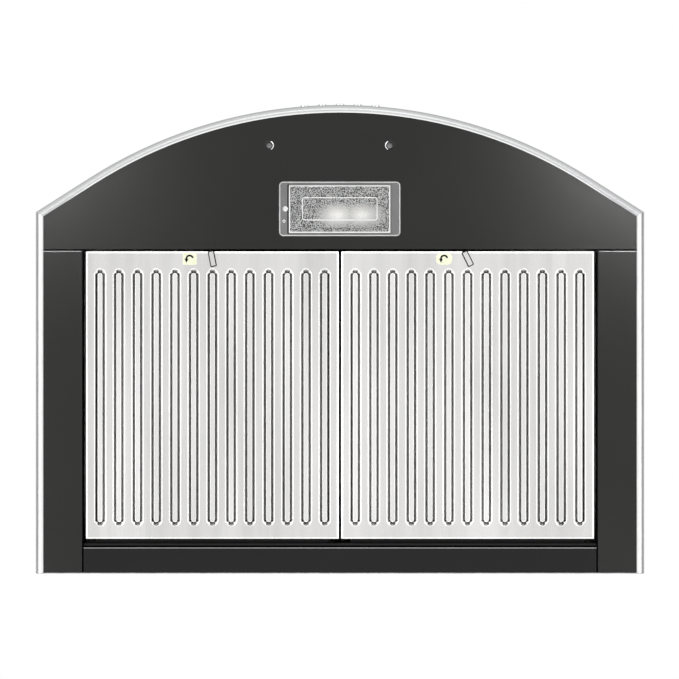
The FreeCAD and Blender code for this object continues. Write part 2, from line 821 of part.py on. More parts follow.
def make_filter_frame(label, sign):
    """The filter's folded rim: walls, an inward return at the top and the hook along its rear edge."""
    body = new_body()
    rim = rectangle("0", "0", "filter_width", "filter_length")
    wall = rectangle("0", "0", "filter_width - 2 * filter_sheet", "filter_length - 2 * filter_sheet")
    mouth = rectangle("0", "0", "filter_width - 2 * filter_return", "filter_length - 2 * filter_return")
    pad(body, draw(body, "XY", rim, wall, level="filter_sheet"), "filter_depth - filter_sheet")
    pad(body, draw(body, "XY", rim, mouth, level="filter_depth - filter_sheet"), "filter_sheet")
    rear = "filter_length / 2"
    neck = f"({HINGE_Y} - {FILTER_Y} - filter_sheet / 2)"
    pivot = "(hinge_height - filter_drop)"
    hook = [
        (rear, "filter_depth - filter_sheet"),
        (neck, "filter_depth - filter_sheet"),
        (neck, pivot),
        (f"{neck} + filter_sheet", pivot),
        (f"{neck} + filter_sheet", "filter_depth"),
        (rear, "filter_depth"),
    ]
    hook_length = "filter_width - 4 * filter_return"
    pad(body, draw(body, "YZ", hook), hook_length, both=True)
    roll = (f"{HINGE_Y} - {FILTER_Y}", pivot, "hook_radius")
    pad(body, draw(body, "YZ", circles=[roll]), hook_length, both=True)
    low, high = "(notch_shift - notch_width / 2)", "(notch_shift + notch_width / 2)"
    window_top = "filter_sheet + 2 * clearance + tongue_thickness + sheet"
    window = [(low, "filter_sheet"), (high, "filter_sheet"), (high, window_top), (low, window_top)]
    front = "filter_length / 2 - filter_return / 2"
    pocket(body, draw(body, "XZ", window, level=front), "filter_return", reverse=True)
    place(body, f"{sign}{FILTER_X}", FILTER_Y, "filter_drop")
    return keep(body, label)


def make_latch(side, sign):
    """A turn latch: a finger strip under the face on a shaft, with a tongue above the face."""
    x, y = f"{sign}{FILTER_X}", f"{FILTER_Y} + {LATCH_Y}"
    tongue_low = "(filter_drop + filter_sheet + clearance)"
    tilt = f"{side}_handle_tilt"
    across = f"(handle_width / 2 * cos({tilt}) + handle_length / 2 * sin({tilt}))"
    along = f"(handle_length / 2 * cos({tilt}) - handle_width / 2 * sin({tilt}))"
    grip_low = "filter_drop - clearance - handle_thickness"
    grip = box(
        f"{x} - {across}", f"{y} - {along}", grip_low, "handle_width", "handle_length", "handle_thickness"
    )
    grip.Placement = Placement(Vector(), Rotation(UP, -number(tilt)))
    grip.setExpression("Placement.Rotation.Angle", sized(f"-{tilt}"))
    shaft_low = "filter_drop - clearance - handle_thickness / 2"
    shaft = rod(UP, x, y, shaft_low, "latch_shaft_radius", f"{tongue_low} + tongue_thickness - ({shaft_low})")
    keep(fuse(grip, shaft), f"latch_{side}_handle")
    end = "tongue_width / 2"
    strip = box(x, f"{y} - {end}", tongue_low, "tongue_length", "tongue_width", "tongue_thickness")
    eye = rod(UP, x, y, tongue_low, end, "tongue_thickness")
    bore = rod(UP, x, y, f"{tongue_low} - tongue_thickness", "latch_shaft_radius", "3 * tongue_thickness")
    keep(cut(fuse(strip, eye), bore), f"latch_{side}_tongue")


def screw(direction, x, y, z, head, dome, radius, length):
    """A raised-head screw: its shank runs along a direction from the face that its head sits on."""
    body = new_body()
    profile = [
        ("0", f"-{dome}"),
        (f"{head} / 2", f"-{dome}"),
        (head, "0"),
        (radius, "0"),
        (radius, length),
        ("0", length),
    ]
    revolve(body, draw(body, "XZ", profile))
    body.Placement = Placement(Vector(), Rotation(UP, direction))
    return place(body, x, y, z)


def group(label, *things):
    """Several separate pieces under one name."""
    together = doc.addObject("Part::Compound")
    together.Links = list(things)
    return keep(together, label)


# Lamp: a stippled lens flush with the front panel, a housing above it, a socket and a bulb
LENS_SCREW_X = "(lens_x - lens_length / 2 + lens_screw_inset)"
LAMP_SIDE = "(lens_length / 2 + lens_gap)"
LAMP_END = "(lens_breadth / 2 + lens_gap)"
LAMP_Y = "(lens_y + lamp_axis_shift)"


def make_lens():
    """The lens: end bands, a raised line on its face and a hollow over the bulb."""
    body = new_body()
    outline = round_rectangle("lens_x", "lens_y", "lens_length", "lens_breadth", "lens_corner")
    hole = (LENS_SCREW_X, "lens_y", "lens_screw_radius + clearance")
    pad(body, draw(body, "XY", outline, circles=[hole], level="sheet"), "lens_thickness")
    ridge_outer = round_rectangle("lens_x", "lens_y", "ridge_length", "ridge_breadth", "lens_corner")
    ridge_inner = round_rectangle(
        "lens_x",
        "lens_y",
        "ridge_length - 2 * ridge_width",
        "ridge_breadth - 2 * ridge_width",
        "lens_corner - ridge_width",
    )
    pad(body, draw(body, "XY", ridge_outer, ridge_inner, level="sheet"), "ridge_height", reverse=True)
    hollow_size = ("lens_length - 2 * lens_end_band", "lens_breadth - 2 * lens_side_band")
    pocket(body, draw(body, "XY", rectangle("lens_x", "lens_y", *hollow_size), level=LENS_TOP), "lens_hollow")
    return keep(body, "lamp_lens")


def lamp_block(side, end, low, high):
    """A block centred over the lens, from half sizes and two heights."""
    corner = (f"lens_x - ({side})", f"lens_y - ({end})", low)
    return box(*corner, f"2 * ({side})", f"2 * ({end})", f"{high} - ({low})")


def make_lamp_housing():
    """The folded lamp housing: a flange on the panel, a ledge that the lens meets and a closed top."""
    top = f"{PANEL_TOP} + lamp_height"
    shell = lamp_block(f"{LAMP_SIDE} + sheet", f"{LAMP_END} + sheet", PANEL_TOP, top)
    skirt = "sheet + lamp_flange"
    flange = lamp_block(f"{LAMP_SIDE} + {skirt}", f"{LAMP_END} + {skirt}", PANEL_TOP, f"{PANEL_TOP} + sheet")
    entry = lamp_block(LAMP_SIDE, LAMP_END, "0", LENS_TOP)
    mouth_top = f"{LENS_TOP} + 2 * sheet"
    mouth = lamp_block(f"{LAMP_SIDE} - lens_end_band", f"{LAMP_END} - lens_side_band", "0", mouth_top)
    room = lamp_block(LAMP_SIDE, LAMP_END, f"{LENS_TOP} + sheet", f"{top} - sheet")
    hole = rod(UP, LENS_SCREW_X, "lens_y", "0", "lens_screw_radius + clearance", f"{LENS_TOP} + 2 * sheet")
    keep(cut(fuse(shell, flange), entry, mouth, room, hole), "lamp_housing")


def make_lamp_socket():
    """The bulb's holder on the housing's left wall."""
    left = f"lens_x - {LAMP_SIDE}"
    holder = rod(RIGHT, left, LAMP_Y, "lamp_axis_height", "socket_radius", "socket_length")
    bore_start = f"{left} + socket_length - socket_bore_depth"
    bore_radius = "bulb_base_radius + clearance"
    bore = rod(RIGHT, bore_start, LAMP_Y, "lamp_axis_height", bore_radius, "2 * socket_bore_depth")
    keep(cut(holder, bore), "lamp_socket")


def make_bulb():
    """A round-nosed tubular bulb with its base in the socket."""
    body = new_body()
    profile = [
        ("0", "0"),
        ("bulb_length", "0", "bulb_radius", 1),
        ("bulb_length - bulb_radius", "bulb_radius"),
        ("bulb_base_length + bulb_neck_length", "bulb_radius"),
        ("bulb_base_length", "bulb_base_radius"),
        ("0", "bulb_base_radius"),
    ]
    revolve(body, draw(body, "XY", profile), "H_Axis")
    start = f"lens_x - {LAMP_SIDE} + socket_length - socket_bore_depth + clearance"
    place(body, start, LAMP_Y, "lamp_axis_height")
    return keep(body, "lamp_bulb")


# Push buttons through the curved band, and the switch block that guides their stems
BLOCK_FRONT = "(-hood_depth + block_gap)"
BLOCK_LOW = "(2 * sheet + dish_depth)"
BUTTON_LABELS = ("button_off", "button_low", "button_medium", "button_high", "button_lamp")


def button_x(index):
    """A button's place across the hood."""
    return f"({index} - (button_count - 1) / 2) * button_pitch"


def make_button(index, label):
    """A round button: a cap with a chamfered edge and a stem into the switch block."""
    body = new_body()
    end = "button_cap_length + button_stem_length"
    profile = [
        ("0", "0"),
        ("button_radius - button_edge", "0"),
        ("button_radius", "button_edge"),
        ("button_radius", "button_cap_length"),
        ("button_stem_radius", "button_cap_length"),
        ("button_stem_radius", end),
        ("0", end),
    ]
    revolve(body, draw(body, "XY", profile))
    band = f"{ARC_CENTRE} - sqrt(arc_radius ^ 2 - ({button_x(index)}) ^ 2)"
    place(body, button_x(index), f"{band} - button_proud", "button_height")
    return keep(body, label)


def make_switch_block():
    """The switch block on the panel's dished seats, bored for the buttons and the two screws."""
    left = "-panel_screw_left - block_margin"
    width = "panel_screw_left + panel_screw_right + 2 * block_margin"
    solid = box(left, BLOCK_FRONT, BLOCK_LOW, width, "block_depth", "block_height")
    bore = "button_stem_radius + clearance"
    bores = [
        rod(BACK, button_x(index), f"{BLOCK_FRONT} - 1", "button_height", bore, "button_bore_depth + 1")
        for index in range(len(BUTTON_LABELS))
    ]
    screw_hole = "panel_screw_radius + clearance"
    holes = [
        rod(UP, x, "-panel_screw_depth", "0", screw_hole, f"{BLOCK_LOW} + panel_screw_length")
        for x in PANEL_SCREWS
    ]
    keep(cut(solid, *bores, *holes), "switch_block")


def make_panel_screws():
    """The two domed screws in the panel's dished seats."""
    seat = "sheet + dish_depth"
    sizes = ("panel_screw_head", "screw_dome", "panel_screw_radius", "panel_screw_length")
    group("panel_screws", *[screw(UP, x, "-panel_screw_depth", seat, *sizes) for x in PANEL_SCREWS])


# Blower: a scroll whose radius grows in quarter turns, hung under the top plate
NECK_FRONT = "(-chimney_depth / 2 - neck_depth / 2)"
NECK_REAR = "(-chimney_depth / 2 + neck_depth / 2)"
AXIS_Y = f"({NECK_REAR} - scroll_radius - 2.5 * scroll_step)"
AXIS_Z = "blower_height"
AXLE_X = "(hub_width / 2 + hub_motor_gap)"
SIDE_OUT = "(scroll_width / 2 + scroll_wall)"


def scroll_outline(inset, top):
    """The scroll and its neck seen from the side, moved in by an inset."""
    near_y, far_y = f"({AXIS_Y} - scroll_step / 2)", f"({AXIS_Y} + scroll_step / 2)"
    low_z, high_z = f"({AXIS_Z} - scroll_step / 2)", f"({AXIS_Z} + scroll_step / 2)"
    first = f"(scroll_radius - ({inset}))"
    second = f"(scroll_radius + scroll_step - ({inset}))"
    third = f"(scroll_radius + 2 * scroll_step - ({inset}))"
    return [
        (f"{NECK_FRONT} + ({inset})", top),
        (f"{NECK_FRONT} + ({inset})", f"{low_z} + {first}"),
        (near_y, f"{low_z} + {first}", first, 1),
        (f"{near_y} - {first}", low_z, second, 1),
        (far_y, f"{low_z} - {second}", third, 1),
        (f"{far_y} + {third}", high_z),
        (f"{NECK_REAR} - ({inset})", top),
    ]


def make_scroll():
    """The scroll's wrapped wall and its two side plates with round inlets."""
    wrap = new_body()
    pad(wrap, draw(wrap, "YZ", scroll_outline("0", "canopy_height")), "scroll_width", both=True)
    inside = draw(wrap, "YZ", scroll_outline("scroll_wall", "canopy_height + sheet"))
    pocket(wrap, inside, "2 * scroll_width", both=True)
    keep(wrap, "blower_scroll")
    inlet = (AXIS_Y, AXIS_Z, "inlet_radius")
    for label, level in (("blower_left_plate", f"-{SIDE_OUT}"), ("blower_right_plate", "scroll_width / 2")):
        plate = new_body()
        edge = scroll_outline("0", "canopy_height")
        pad(plate, draw(plate, "YZ", edge, circles=[inlet], level=level), "scroll_wall")
        keep(plate, label)


def make_impeller():
    """The double impeller: a hub with its middle disc, two end rings and leaning blades between them."""
    hub = new_body()
    pad(hub, draw(hub, "YZ", circles=[("0", "0", "impeller_radius")]), "impeller_disc", both=True)
    pad(hub, draw(hub, "YZ", circles=[("0", "0", "hub_radius")]), "hub_width", both=True)
    bore = draw(hub, "YZ", circles=[("0", "0", "shaft_radius")])
    pocket(hub, bore, "2 * hub_width", both=True)
    keep(place(hub, "0", AXIS_Y, AXIS_Z), "impeller_hub")
    ring_circles = [("0", "0", "impeller_radius"), ("0", "0", "impeller_inner")]
    tip_y = "impeller_radius * cos(blade_lean) - blade_thickness"
    tip_z = "impeller_radius * sin(blade_lean)"
    root = "impeller_inner + blade_thickness"
    half = "blade_thickness / 2"
    outline = [
        (root, f"-{half}"),
        (tip_y, f"{tip_z} - {half}"),
        (tip_y, f"{tip_z} + {half}"),
        (root, half),
    ]
    blade_length = "impeller_width / 2 - impeller_ring - impeller_disc / 2"
    levels = {
        "left": ("-impeller_width / 2", "-impeller_width / 2 + impeller_ring"),
        "right": ("impeller_width / 2 - impeller_ring", "impeller_disc / 2"),
    }
    for side, (ring_level, blade_level) in levels.items():
        ring = new_body()
        pad(ring, draw(ring, "YZ", circles=ring_circles, level=ring_level), "impeller_ring")
        keep(place(ring, "0", AXIS_Y, AXIS_Z), f"impeller_{side}_ring")
        blades = new_body()
        blade = draw(blades, "YZ", outline, level=blade_level)
        repeat_round(blades, [pad(blades, blade, blade_length)], blade, "N_Axis", "blade_count")
        keep(place(blades, "0", AXIS_Y, AXIS_Z), f"impeller_{side}_blades")


def make_motor():
    """The motor with its stepped ends and running bore, its shaft, and the spider that carries it."""
    body = new_body()
    bore = "shaft_radius + shaft_running_gap"
    shoulder = "motor_boss_length"
    back = "motor_boss_length + motor_length"
    end = f"{back} + motor_cap_length"
    profile = [
        ("0", bore),
        ("0", "motor_boss_radius"),
        (shoulder, "motor_boss_radius"),
        (shoulder, "motor_radius"),
        (back, "motor_radius"),
        (back, "motor_cap_radius"),
        (end, "motor_cap_radius"),
        (end, bore),
    ]
    revolve(body, draw(body, "XY", profile), "H_Axis")
    place(body, AXLE_X, AXIS_Y, AXIS_Z)
    keep(body, "motor")
    keep(rod(RIGHT, "-hub_width / 2", AXIS_Y, AXIS_Z, "shaft_radius", "shaft_length"), "motor_shaft")
    spider = new_body()
    inner = "motor_radius"
    outer = "motor_radius + bracket_wall"
    pad(spider, draw(spider, "YZ", circles=[("0", "0", outer), ("0", "0", inner)]), "bracket_width")
    middle = "(motor_radius + bracket_wall / 2 + arm_reach) / 2"
    arm = draw(
        spider, "YZ", rectangle(middle, "0", "arm_reach - motor_radius - bracket_wall / 2", "arm_width")
    )
    repeat_round(spider, [pad(spider, arm, "arm_thickness")], arm, "N_Axis", "arm_count")
    place(spider, SIDE_OUT, AXIS_Y, AXIS_Z)
    keep(spider, "motor_bracket")


def make_capacitor():
    """The motor's run capacitor on the left side plate, beside the neck."""
    start = f"-{SIDE_OUT} - capacitor_length"
    middle = ("-chimney_depth / 2", f"{AXIS_Z} + capacitor_rise")
    keep(rod(RIGHT, start, *middle, "capacitor_radius", "capacitor_length"), "capacitor")


# Outlet: a collar for round duct on the top plate, with two flaps on one pin
OUTLET_Y = "(-chimney_depth / 2)"
PLATE_TOP = "(canopy_height + sheet)"
PIN_Z = f"({PLATE_TOP} + pin_height)"
KNUCKLE = "(pin_radius + pin_running_gap + knuckle_wall)"


def make_collar():
    """The outlet collar with its foot flange, pin holes and a stop under each flap."""
    body = new_body()
    inside = "collar_radius - collar_wall"
    profile = [
        (inside, "0"),
        ("collar_radius + collar_flange", "0"),
        ("collar_radius + collar_flange", "collar_flange_thickness"),
        ("collar_radius", "collar_flange_thickness"),
        ("collar_radius", "collar_height"),
        (inside, "collar_height"),
    ]
    revolve(body, draw(body, "XZ", profile))
    reach = f"({inside} + collar_wall / 2 - stop_depth / 2)"
    stops = [rectangle("0", f"{sign}{reach}", "stop_width", "stop_depth") for sign in ("-", "")]
    stop_top = "pin_height - flap_thickness / 2 - clearance"
    pad(body, draw(body, "XY", *stops, level=stop_top), "collar_flange_thickness", reverse=True)
    hole = ("0", "pin_height", "pin_radius + pin_running_gap")
    pocket(body, draw(body, "YZ", circles=[hole]), "4 * collar_radius", both=True)
    place(body, "0", OUTLET_Y, PLATE_TOP)
    return keep(body, "outlet_collar")


def make_flap(label, sign, knuckles):
    """A half-round flap with two knuckles on the pin; it lies level when shut."""
    body = new_body()
    radius = "(collar_radius - collar_wall - flap_gap)"
    edge_y = f"({KNUCKLE} + clearance)"
    edge_x = f"sqrt({radius} ^ 2 - {edge_y} ^ 2)"
    turn = 1 if sign == "" else -1
    plate = [(f"{edge_x}", f"{sign}{edge_y}", radius, turn), (f"-{edge_x}", f"{sign}{edge_y}")]
    pad(body, draw(body, "XY", plate), "flap_thickness", both=True)
    for x in knuckles:
        start = f"{x} - knuckle_length / 2"
        pad(body, draw(body, "YZ", circles=[("0", "0", KNUCKLE)], level=start), "knuckle_length")
        web = rectangle(x, f"{sign}{edge_y} / 2", "knuckle_length", f"{edge_y} + clearance")
        pad(body, draw(body, "XY", web), "flap_thickness", both=True)
    bore = draw(body, "YZ", circles=[("0", "0", "pin_radius + pin_running_gap")])
    pocket(body, bore, "4 * collar_radius", both=True)
    place(body, "0", OUTLET_Y, PIN_Z)
    return keep(body, label)


def make_damper():
    """Two flaps whose knuckles take turns along one pin."""
    make_flap("damper_front_flap", "-", ("-2 * knuckle_pitch", "knuckle_pitch"))
    make_flap("damper_rear_flap", "", ("-knuckle_pitch", "2 * knuckle_pitch"))
    half = "(collar_radius - collar_wall / 2)"
    keep(rod(RIGHT, f"-{half}", OUTLET_Y, PIN_Z, "pin_radius", f"2 * {half}"), "damper_pin")


def make_terminal_box():
    """The terminal box beside the outlet and the cable gland on its lid."""
    left = "(-chimney_width / 2 + sheet + terminal_margin)"
    near = f"{OUTLET_Y} - terminal_length / 2"
    keep(box(left, near, PLATE_TOP, "terminal_width", "terminal_length", "terminal_height"), "terminal_box")
    body = new_body()
    profile = [
        ("gland_bore", "0"),
        ("gland_nut_radius", "0"),
        ("gland_nut_radius", "gland_nut_height"),
        ("gland_radius", "gland_nut_height"),
        ("gland_radius", "gland_height"),
        ("gland_bore", "gland_height"),
    ]
    revolve(body, draw(body, "XZ", profile))
    place(body, f"{left} + terminal_width / 2", OUTLET_Y, f"{PLATE_TOP} + terminal_height")
    keep(body, "cable_gland")


# Chimney cover: two folded sleeves, open to the wall, one sliding inside the other
SLEEVE_INSET = "(sheet + chimney_slide_gap)"
UPPER_Z = f"({PLATE_TOP} + upper_chimney_rest)"
UPPER_TOP = f"({UPPER_Z} + chimney_height)"


def sleeve_section(inset):
    """A chimney sleeve's plan: front, two sides and short returns along the wall."""
    side = f"(chimney_width / 2 - ({inset}))"
    front = f"(-chimney_depth + ({inset}))"
    rear = f"(-({inset}))"
    back = f"({side} - chimney_return)"
    return [
        (f"-{side}", rear),
        (f"-{side}", front),
        (side, front),
        (side, rear),
        (back, rear),
        (back, f"{rear} - sheet"),
        (f"{side} - sheet", f"{rear} - sheet"),
        (f"{side} - sheet", f"{front} + sheet"),
        (f"-{side} + sheet", f"{front} + sheet"),
        (f"-{side} + sheet", f"{rear} - sheet"),
        (f"-{back}", f"{rear} - sheet"),
        (f"-{back}", rear),
    ]


def make_chimney():
    """The lower sleeve on the top plate and the upper sleeve inside it."""
    lower = new_body()
    pad(lower, draw(lower, "XY", sleeve_section("0"), level=PLATE_TOP), "chimney_height")
    keep(lower, "lower_chimney")
    upper = new_body()
    pad(upper, draw(upper, "XY", sleeve_section(SLEEVE_INSET), level=UPPER_Z), "chimney_height")
    screw_y = f"-{SLEEVE_INSET} - sheet - wall_bracket_tab / 2"
    hole = (screw_y, f"{UPPER_TOP} - chimney_screw_drop", "chimney_screw_radius + clearance")
    pocket(upper, draw(upper, "YZ", circles=[hole]), "2 * chimney_width", both=True)
    keep(upper, "upper_chimney")
    bracket = new_body()
    side = f"(chimney_width / 2 - {SLEEVE_INSET} - sheet)"
    strip = f"(-{SLEEVE_INSET} - sheet)"
    thick = "wall_bracket_thickness"
    tab = f"{strip} - wall_bracket_tab"
    foot = "wall_bracket_foot"
    section = [
        (f"-{side}", tab),
        (f"-{side} + {thick}", tab),
        (f"-{side} + {thick}", f"{strip} - {thick}"),
        (f"-{foot} + {thick}", f"{strip} - {thick}"),
        (f"-{foot} + {thick}", f"-{thick}"),
        (f"{foot} - {thick}", f"-{thick}"),
        (f"{foot} - {thick}", f"{strip} - {thick}"),
        (f"{side} - {thick}", f"{strip} - {thick}"),
        (f"{side} - {thick}", tab),
        (side, tab),
        (side, strip),
        (foot, strip),
        (foot, "0"),
        (f"-{foot}", "0"),
        (f"-{foot}", strip),
        (f"-{side}", strip),
    ]
    level = f"{UPPER_TOP} - wall_bracket_height"
    pad(bracket, draw(bracket, "XY", section, level=level), "wall_bracket_height")
    pocket(bracket, draw(bracket, "YZ", circles=[hole]), "2 * chimney_width", both=True)
    fixing_z = f"{UPPER_TOP} - wall_bracket_height / 2"
    fixings = [(f"{sign}bracket_fixing_x", fixing_z, "bracket_fixing_radius") for sign in ("-", "")]
    pocket(bracket, draw(bracket, "XZ", circles=fixings), "4 * wall_bracket_tab", both=True)
    keep(bracket, "chimney_bracket")
    sizes = ("chimney_screw_head", "screw_dome", "chimney_screw_radius", "chimney_screw_length")
    wall = f"(chimney_width / 2 - {SLEEVE_INSET})"
    spot = (screw_y, f"{UPPER_TOP} - chimney_screw_drop")
    left = screw(RIGHT, f"-{wall}", *spot, *sizes)
    right = screw(-RIGHT, wall, *spot, *sizes)
    group("chimney_screws", left, right)


make_front_band()
make_side_band("left_band", "-")
make_side_band("right_band", "")
make_canopy_front()
make_canopy_side("canopy_left", "-")
make_canopy_side("canopy_right", "")
make_back_panel()
make_top_plate()
make_front_panel()
make_side_rail("left_rail", "-")
make_side_rail("right_rail", "")
make_rear_rail()
make_panel_screws()
for side, sign in (("left", "-"), ("right", "")):
    make_filter_face(f"filter_{side}_face", sign)
    make_filter_baffles(f"filter_{side}_baffles", sign)
    make_filter_frame(f"filter_{side}_frame", sign)
    make_latch(side, sign)
make_lens()
lens_screw_sizes = ("lens_screw_head", "screw_dome", "lens_screw_radius", "lens_screw_length")
keep(screw(UP, LENS_SCREW_X, "lens_y", "sheet", *lens_screw_sizes), "lens_screw")
make_lamp_housing()
make_lamp_socket()
make_bulb()
for index, label in enumerate(BUTTON_LABELS):
    make_button(index, label)
make_switch_block()
make_scroll()
make_impeller()
make_motor()
make_capacitor()
make_collar()
make_damper()
make_terminal_box()
make_chimney()


def check_and_write():
    """Stop on any failed object or bad shape, then write each piece to its own file."""
    doc.recompute()
    for thing in doc.Objects:
        faults = [state for state in thing.State if state in ("Invalid", "Error")]
        if faults:
            raise RuntimeError(f"{thing.Name} ({thing.Label}) is {faults}")
    for piece in pieces:
        if piece.Shape.isNull() or not piece.Shape.isValid():
            raise RuntimeError(f"{piece.Label} has no valid shape")
    os.makedirs("parts", exist_ok=True)
    for piece in pieces:
        piece.Shape.exportStep(f"parts/{piece.Label}.step")
        print(f"{piece.Label}: {len(piece.Shape.Solids)} solid(s), {piece.Shape.Volume:.0f} mm3")


check_and_write()
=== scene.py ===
import logging
import math
from dataclasses import dataclass, field
from enum import Enum, IntEnum
from typing import Iterable, Sequence

import bmesh
import bpy
from bmesh.types import BMEdge, BMesh, BMFace, BMVert
from mathutils import Matrix, Vector


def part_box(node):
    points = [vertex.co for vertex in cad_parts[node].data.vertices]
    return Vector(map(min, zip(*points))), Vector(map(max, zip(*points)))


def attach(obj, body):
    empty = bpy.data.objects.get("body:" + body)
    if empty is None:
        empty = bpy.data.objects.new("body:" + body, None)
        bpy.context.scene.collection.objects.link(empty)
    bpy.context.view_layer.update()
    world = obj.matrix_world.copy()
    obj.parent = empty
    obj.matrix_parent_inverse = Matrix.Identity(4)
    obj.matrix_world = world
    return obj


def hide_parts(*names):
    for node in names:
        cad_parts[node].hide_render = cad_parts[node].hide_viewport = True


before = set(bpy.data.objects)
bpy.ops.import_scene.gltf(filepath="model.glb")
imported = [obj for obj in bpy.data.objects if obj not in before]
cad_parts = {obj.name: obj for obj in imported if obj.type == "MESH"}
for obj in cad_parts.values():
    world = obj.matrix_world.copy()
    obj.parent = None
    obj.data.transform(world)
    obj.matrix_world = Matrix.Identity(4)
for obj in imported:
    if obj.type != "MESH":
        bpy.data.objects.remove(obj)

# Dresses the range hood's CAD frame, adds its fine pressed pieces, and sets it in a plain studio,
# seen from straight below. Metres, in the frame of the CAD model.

Colour = tuple[float, float, float]
Place = tuple[float, float, float]
Socket = bpy.types.NodeSocket
Material = bpy.types.Material

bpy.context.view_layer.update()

MM = 0.001
TOLERANCE = 1e-6
WHITE: Colour = (1.0, 1.0, 1.0)

# The front band's curve in plan, and how far its lip reaches in from it.
ARC_RADIUS = 574.0 * MM
ARC_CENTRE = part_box("front_band")[0][1] + ARC_RADIUS
LIP_DEPTH = 10.0 * MM

# The colour sockets of a Mix node, which share their names with its other sockets.
MIX_FIRST, MIX_SECOND, MIX_RESULT = 6, 7, 2

log = logging.getLogger("range_hood")


class Axis(Enum):
    """The direction that a brushed grain runs in, as the stretch of its pattern along each axis."""

    ACROSS = (0.02, 1.0, 1.0)
    BACKWARD = (1.0, 0.02, 1.0)
    UPRIGHT = (1.0, 1.0, 0.02)


def shade(colour: Colour, factor: float) -> Colour:
    """A colour made lighter or darker by a factor."""
    return tuple(min(part * factor, 1.0) for part in colour)


class Recipe:
    """A material's node tree while it is put together."""

    def __init__(self, name: str) -> None:
        """Start a material with one principled surface, or go on with the one of that name.

        Args:
            name: The material's name.
        """
        self.material = bpy.data.materials.get(name) or bpy.data.materials.new(name)
        self.material.use_nodes = True
        self.nodes = self.material.node_tree.nodes
        self.links = self.material.node_tree.links
        self.surface = self.nodes["Principled BSDF"]

    def add(self, kind: str, feeds: dict[str, Socket] | None = None,
            **values: float | Sequence[float]) -> bpy.types.Node:
        """Add a node.

        Args:
            kind: The node's type, without the ShaderNode prefix.
            feeds: Sockets that feed its inputs, by input name.
            **values: Plain values of its inputs, by name with underscores for spaces.

        Returns:
            The new node.
        """
        node = self.nodes.new(f"ShaderNode{kind}")
        for name, value in values.items():
            node.inputs[name.replace("_", " ")].default_value = value
        for name, socket in (feeds or {}).items():
            self.links.new(socket, node.inputs[name])
        return node

    def spots(self, stretch: Sequence[float] = (1.0, 1.0, 1.0)) -> Socket:
        """Points on the piece in metres, stretched along each axis."""
        place = self.add("TexCoord").outputs["Object"]
        return self.add("Mapping", {"Vector": place}, Scale=stretch).outputs["Vector"]

    def noise(self, scale: float, detail: float, stretch: Sequence[float] = (1.0, 1.0, 1.0)) -> Socket:
        """Cloudy noise, from 0 to 1: its clouds in a metre, its finer layers, and how it is drawn out."""
        return self.add("TexNoise", {"Vector": self.spots(stretch)}, Scale=scale, Detail=detail).outputs[0]

    def cells(self, scale: float, feature: str) -> Socket:
        """Random cells, as a colour or as the distance to each cell's middle."""
        return self.add("TexVoronoi", {"Vector": self.spots()}, Scale=scale).outputs[feature]

    def halo(self, centre: Sequence[float], reach: Sequence[float]) -> Socket:
        """An oblong ball of light.

        Args:
            centre: Its middle.
            reach: Its half size along each axis.

        Returns:
            The light, from 1 in the middle to 0 at its skin.
        """
        place = self.add("TexCoord").outputs["Object"]
        ball = self.add("Mapping", {"Vector": place}, Scale=[1.0 / size for size in reach],
                        Location=[-part / size for part, size in zip(centre, reach)])
        fade = self.add("TexGradient", {"Vector": ball.outputs["Vector"]})
        fade.gradient_type = "SPHERICAL"
        return fade.outputs["Fac"]

    def combine(self, operation: str, first: Socket, second: Socket) -> Socket:
        """Make one amount out of two.

        Args:
            operation: What is done with them, as a Math node names it.
            first: One amount.
            second: The other amount.

        Returns:
            The result.
        """
        node = self.add("Math")
        node.operation = operation
        for source, socket in zip((first, second), node.inputs):
            self.links.new(source, socket)
        return node.outputs[0]

    def between(self, amount: Socket, low: float, high: float, start: float = 0.3,
                stop: float = 0.7) -> Socket:
        """A number that goes from low to high as an amount goes from start to stop."""
        limits = {"From_Min": start, "From_Max": stop, "To_Min": low, "To_Max": high}
        return self.add("MapRange", {"Value": amount}, **limits).outputs["Result"]

    def rough(self, amount: Socket, roughness: float, less: float, more: float, **span: float) -> Socket:
        """A roughness that an amount makes a little less or more, over a span of its own if one is given."""
        return self.between(amount, roughness - less, roughness + more, **span)

    def blend(self, amount: Socket, low: Colour, high: Colour, start: float = 0.3,
              stop: float = 0.7) -> Socket:
        """A colour that gives way to another as an amount grows.

        Args:
            amount: The amount.
            low: The colour up to the start.
            high: The colour from the stop on.
            start: The amount at which the change starts.
            stop: The amount at which it is complete.

        Returns:
            The colour.
        """
        ramp = self.add("ValToRGB", {"Fac": amount})
        for element, place, colour in zip(ramp.color_ramp.elements, (start, stop), (low, high)):
            element.position = place
            element.color = (*colour, 1.0)
        return ramp.outputs["Color"]

    def tint(self, amount: Socket, colour: Colour, low: float, high: float, **span: float) -> Socket:
        """A colour whose shade an amount moves between two factors, over its own span if one is given."""
        return self.blend(amount, shade(colour, low), shade(colour, high), **span)

    def dimmer(self, amount: Socket, least: float) -> Socket:
        """A grey to dim a colour by, from a least level up to white."""
        return self.blend(amount, (least,) * 3, WHITE)

    def mixer(self, first: Socket, kind: str) -> bpy.types.Node:
        """Add a node that mixes a second colour into a first one.

        Args:
            first: The first colour.
            kind: How they are mixed, as a Mix node names it.

        Returns:
            The new node.
        """
        node = self.add("Mix", Factor=1.0)
        node.data_type = "RGBA"
        node.blend_type = kind
        self.links.new(first, node.inputs[MIX_FIRST])
        return node

    def times(self, first: Socket, second: Socket) -> Socket:
        """Dim one colour by another.

        Args:
            first: The colour.
            second: What dims it.

        Returns:
            The dimmed colour.
        """
        node = self.mixer(first, "MULTIPLY")
        self.links.new(second, node.inputs[MIX_SECOND])
        return node.outputs[MIX_RESULT]

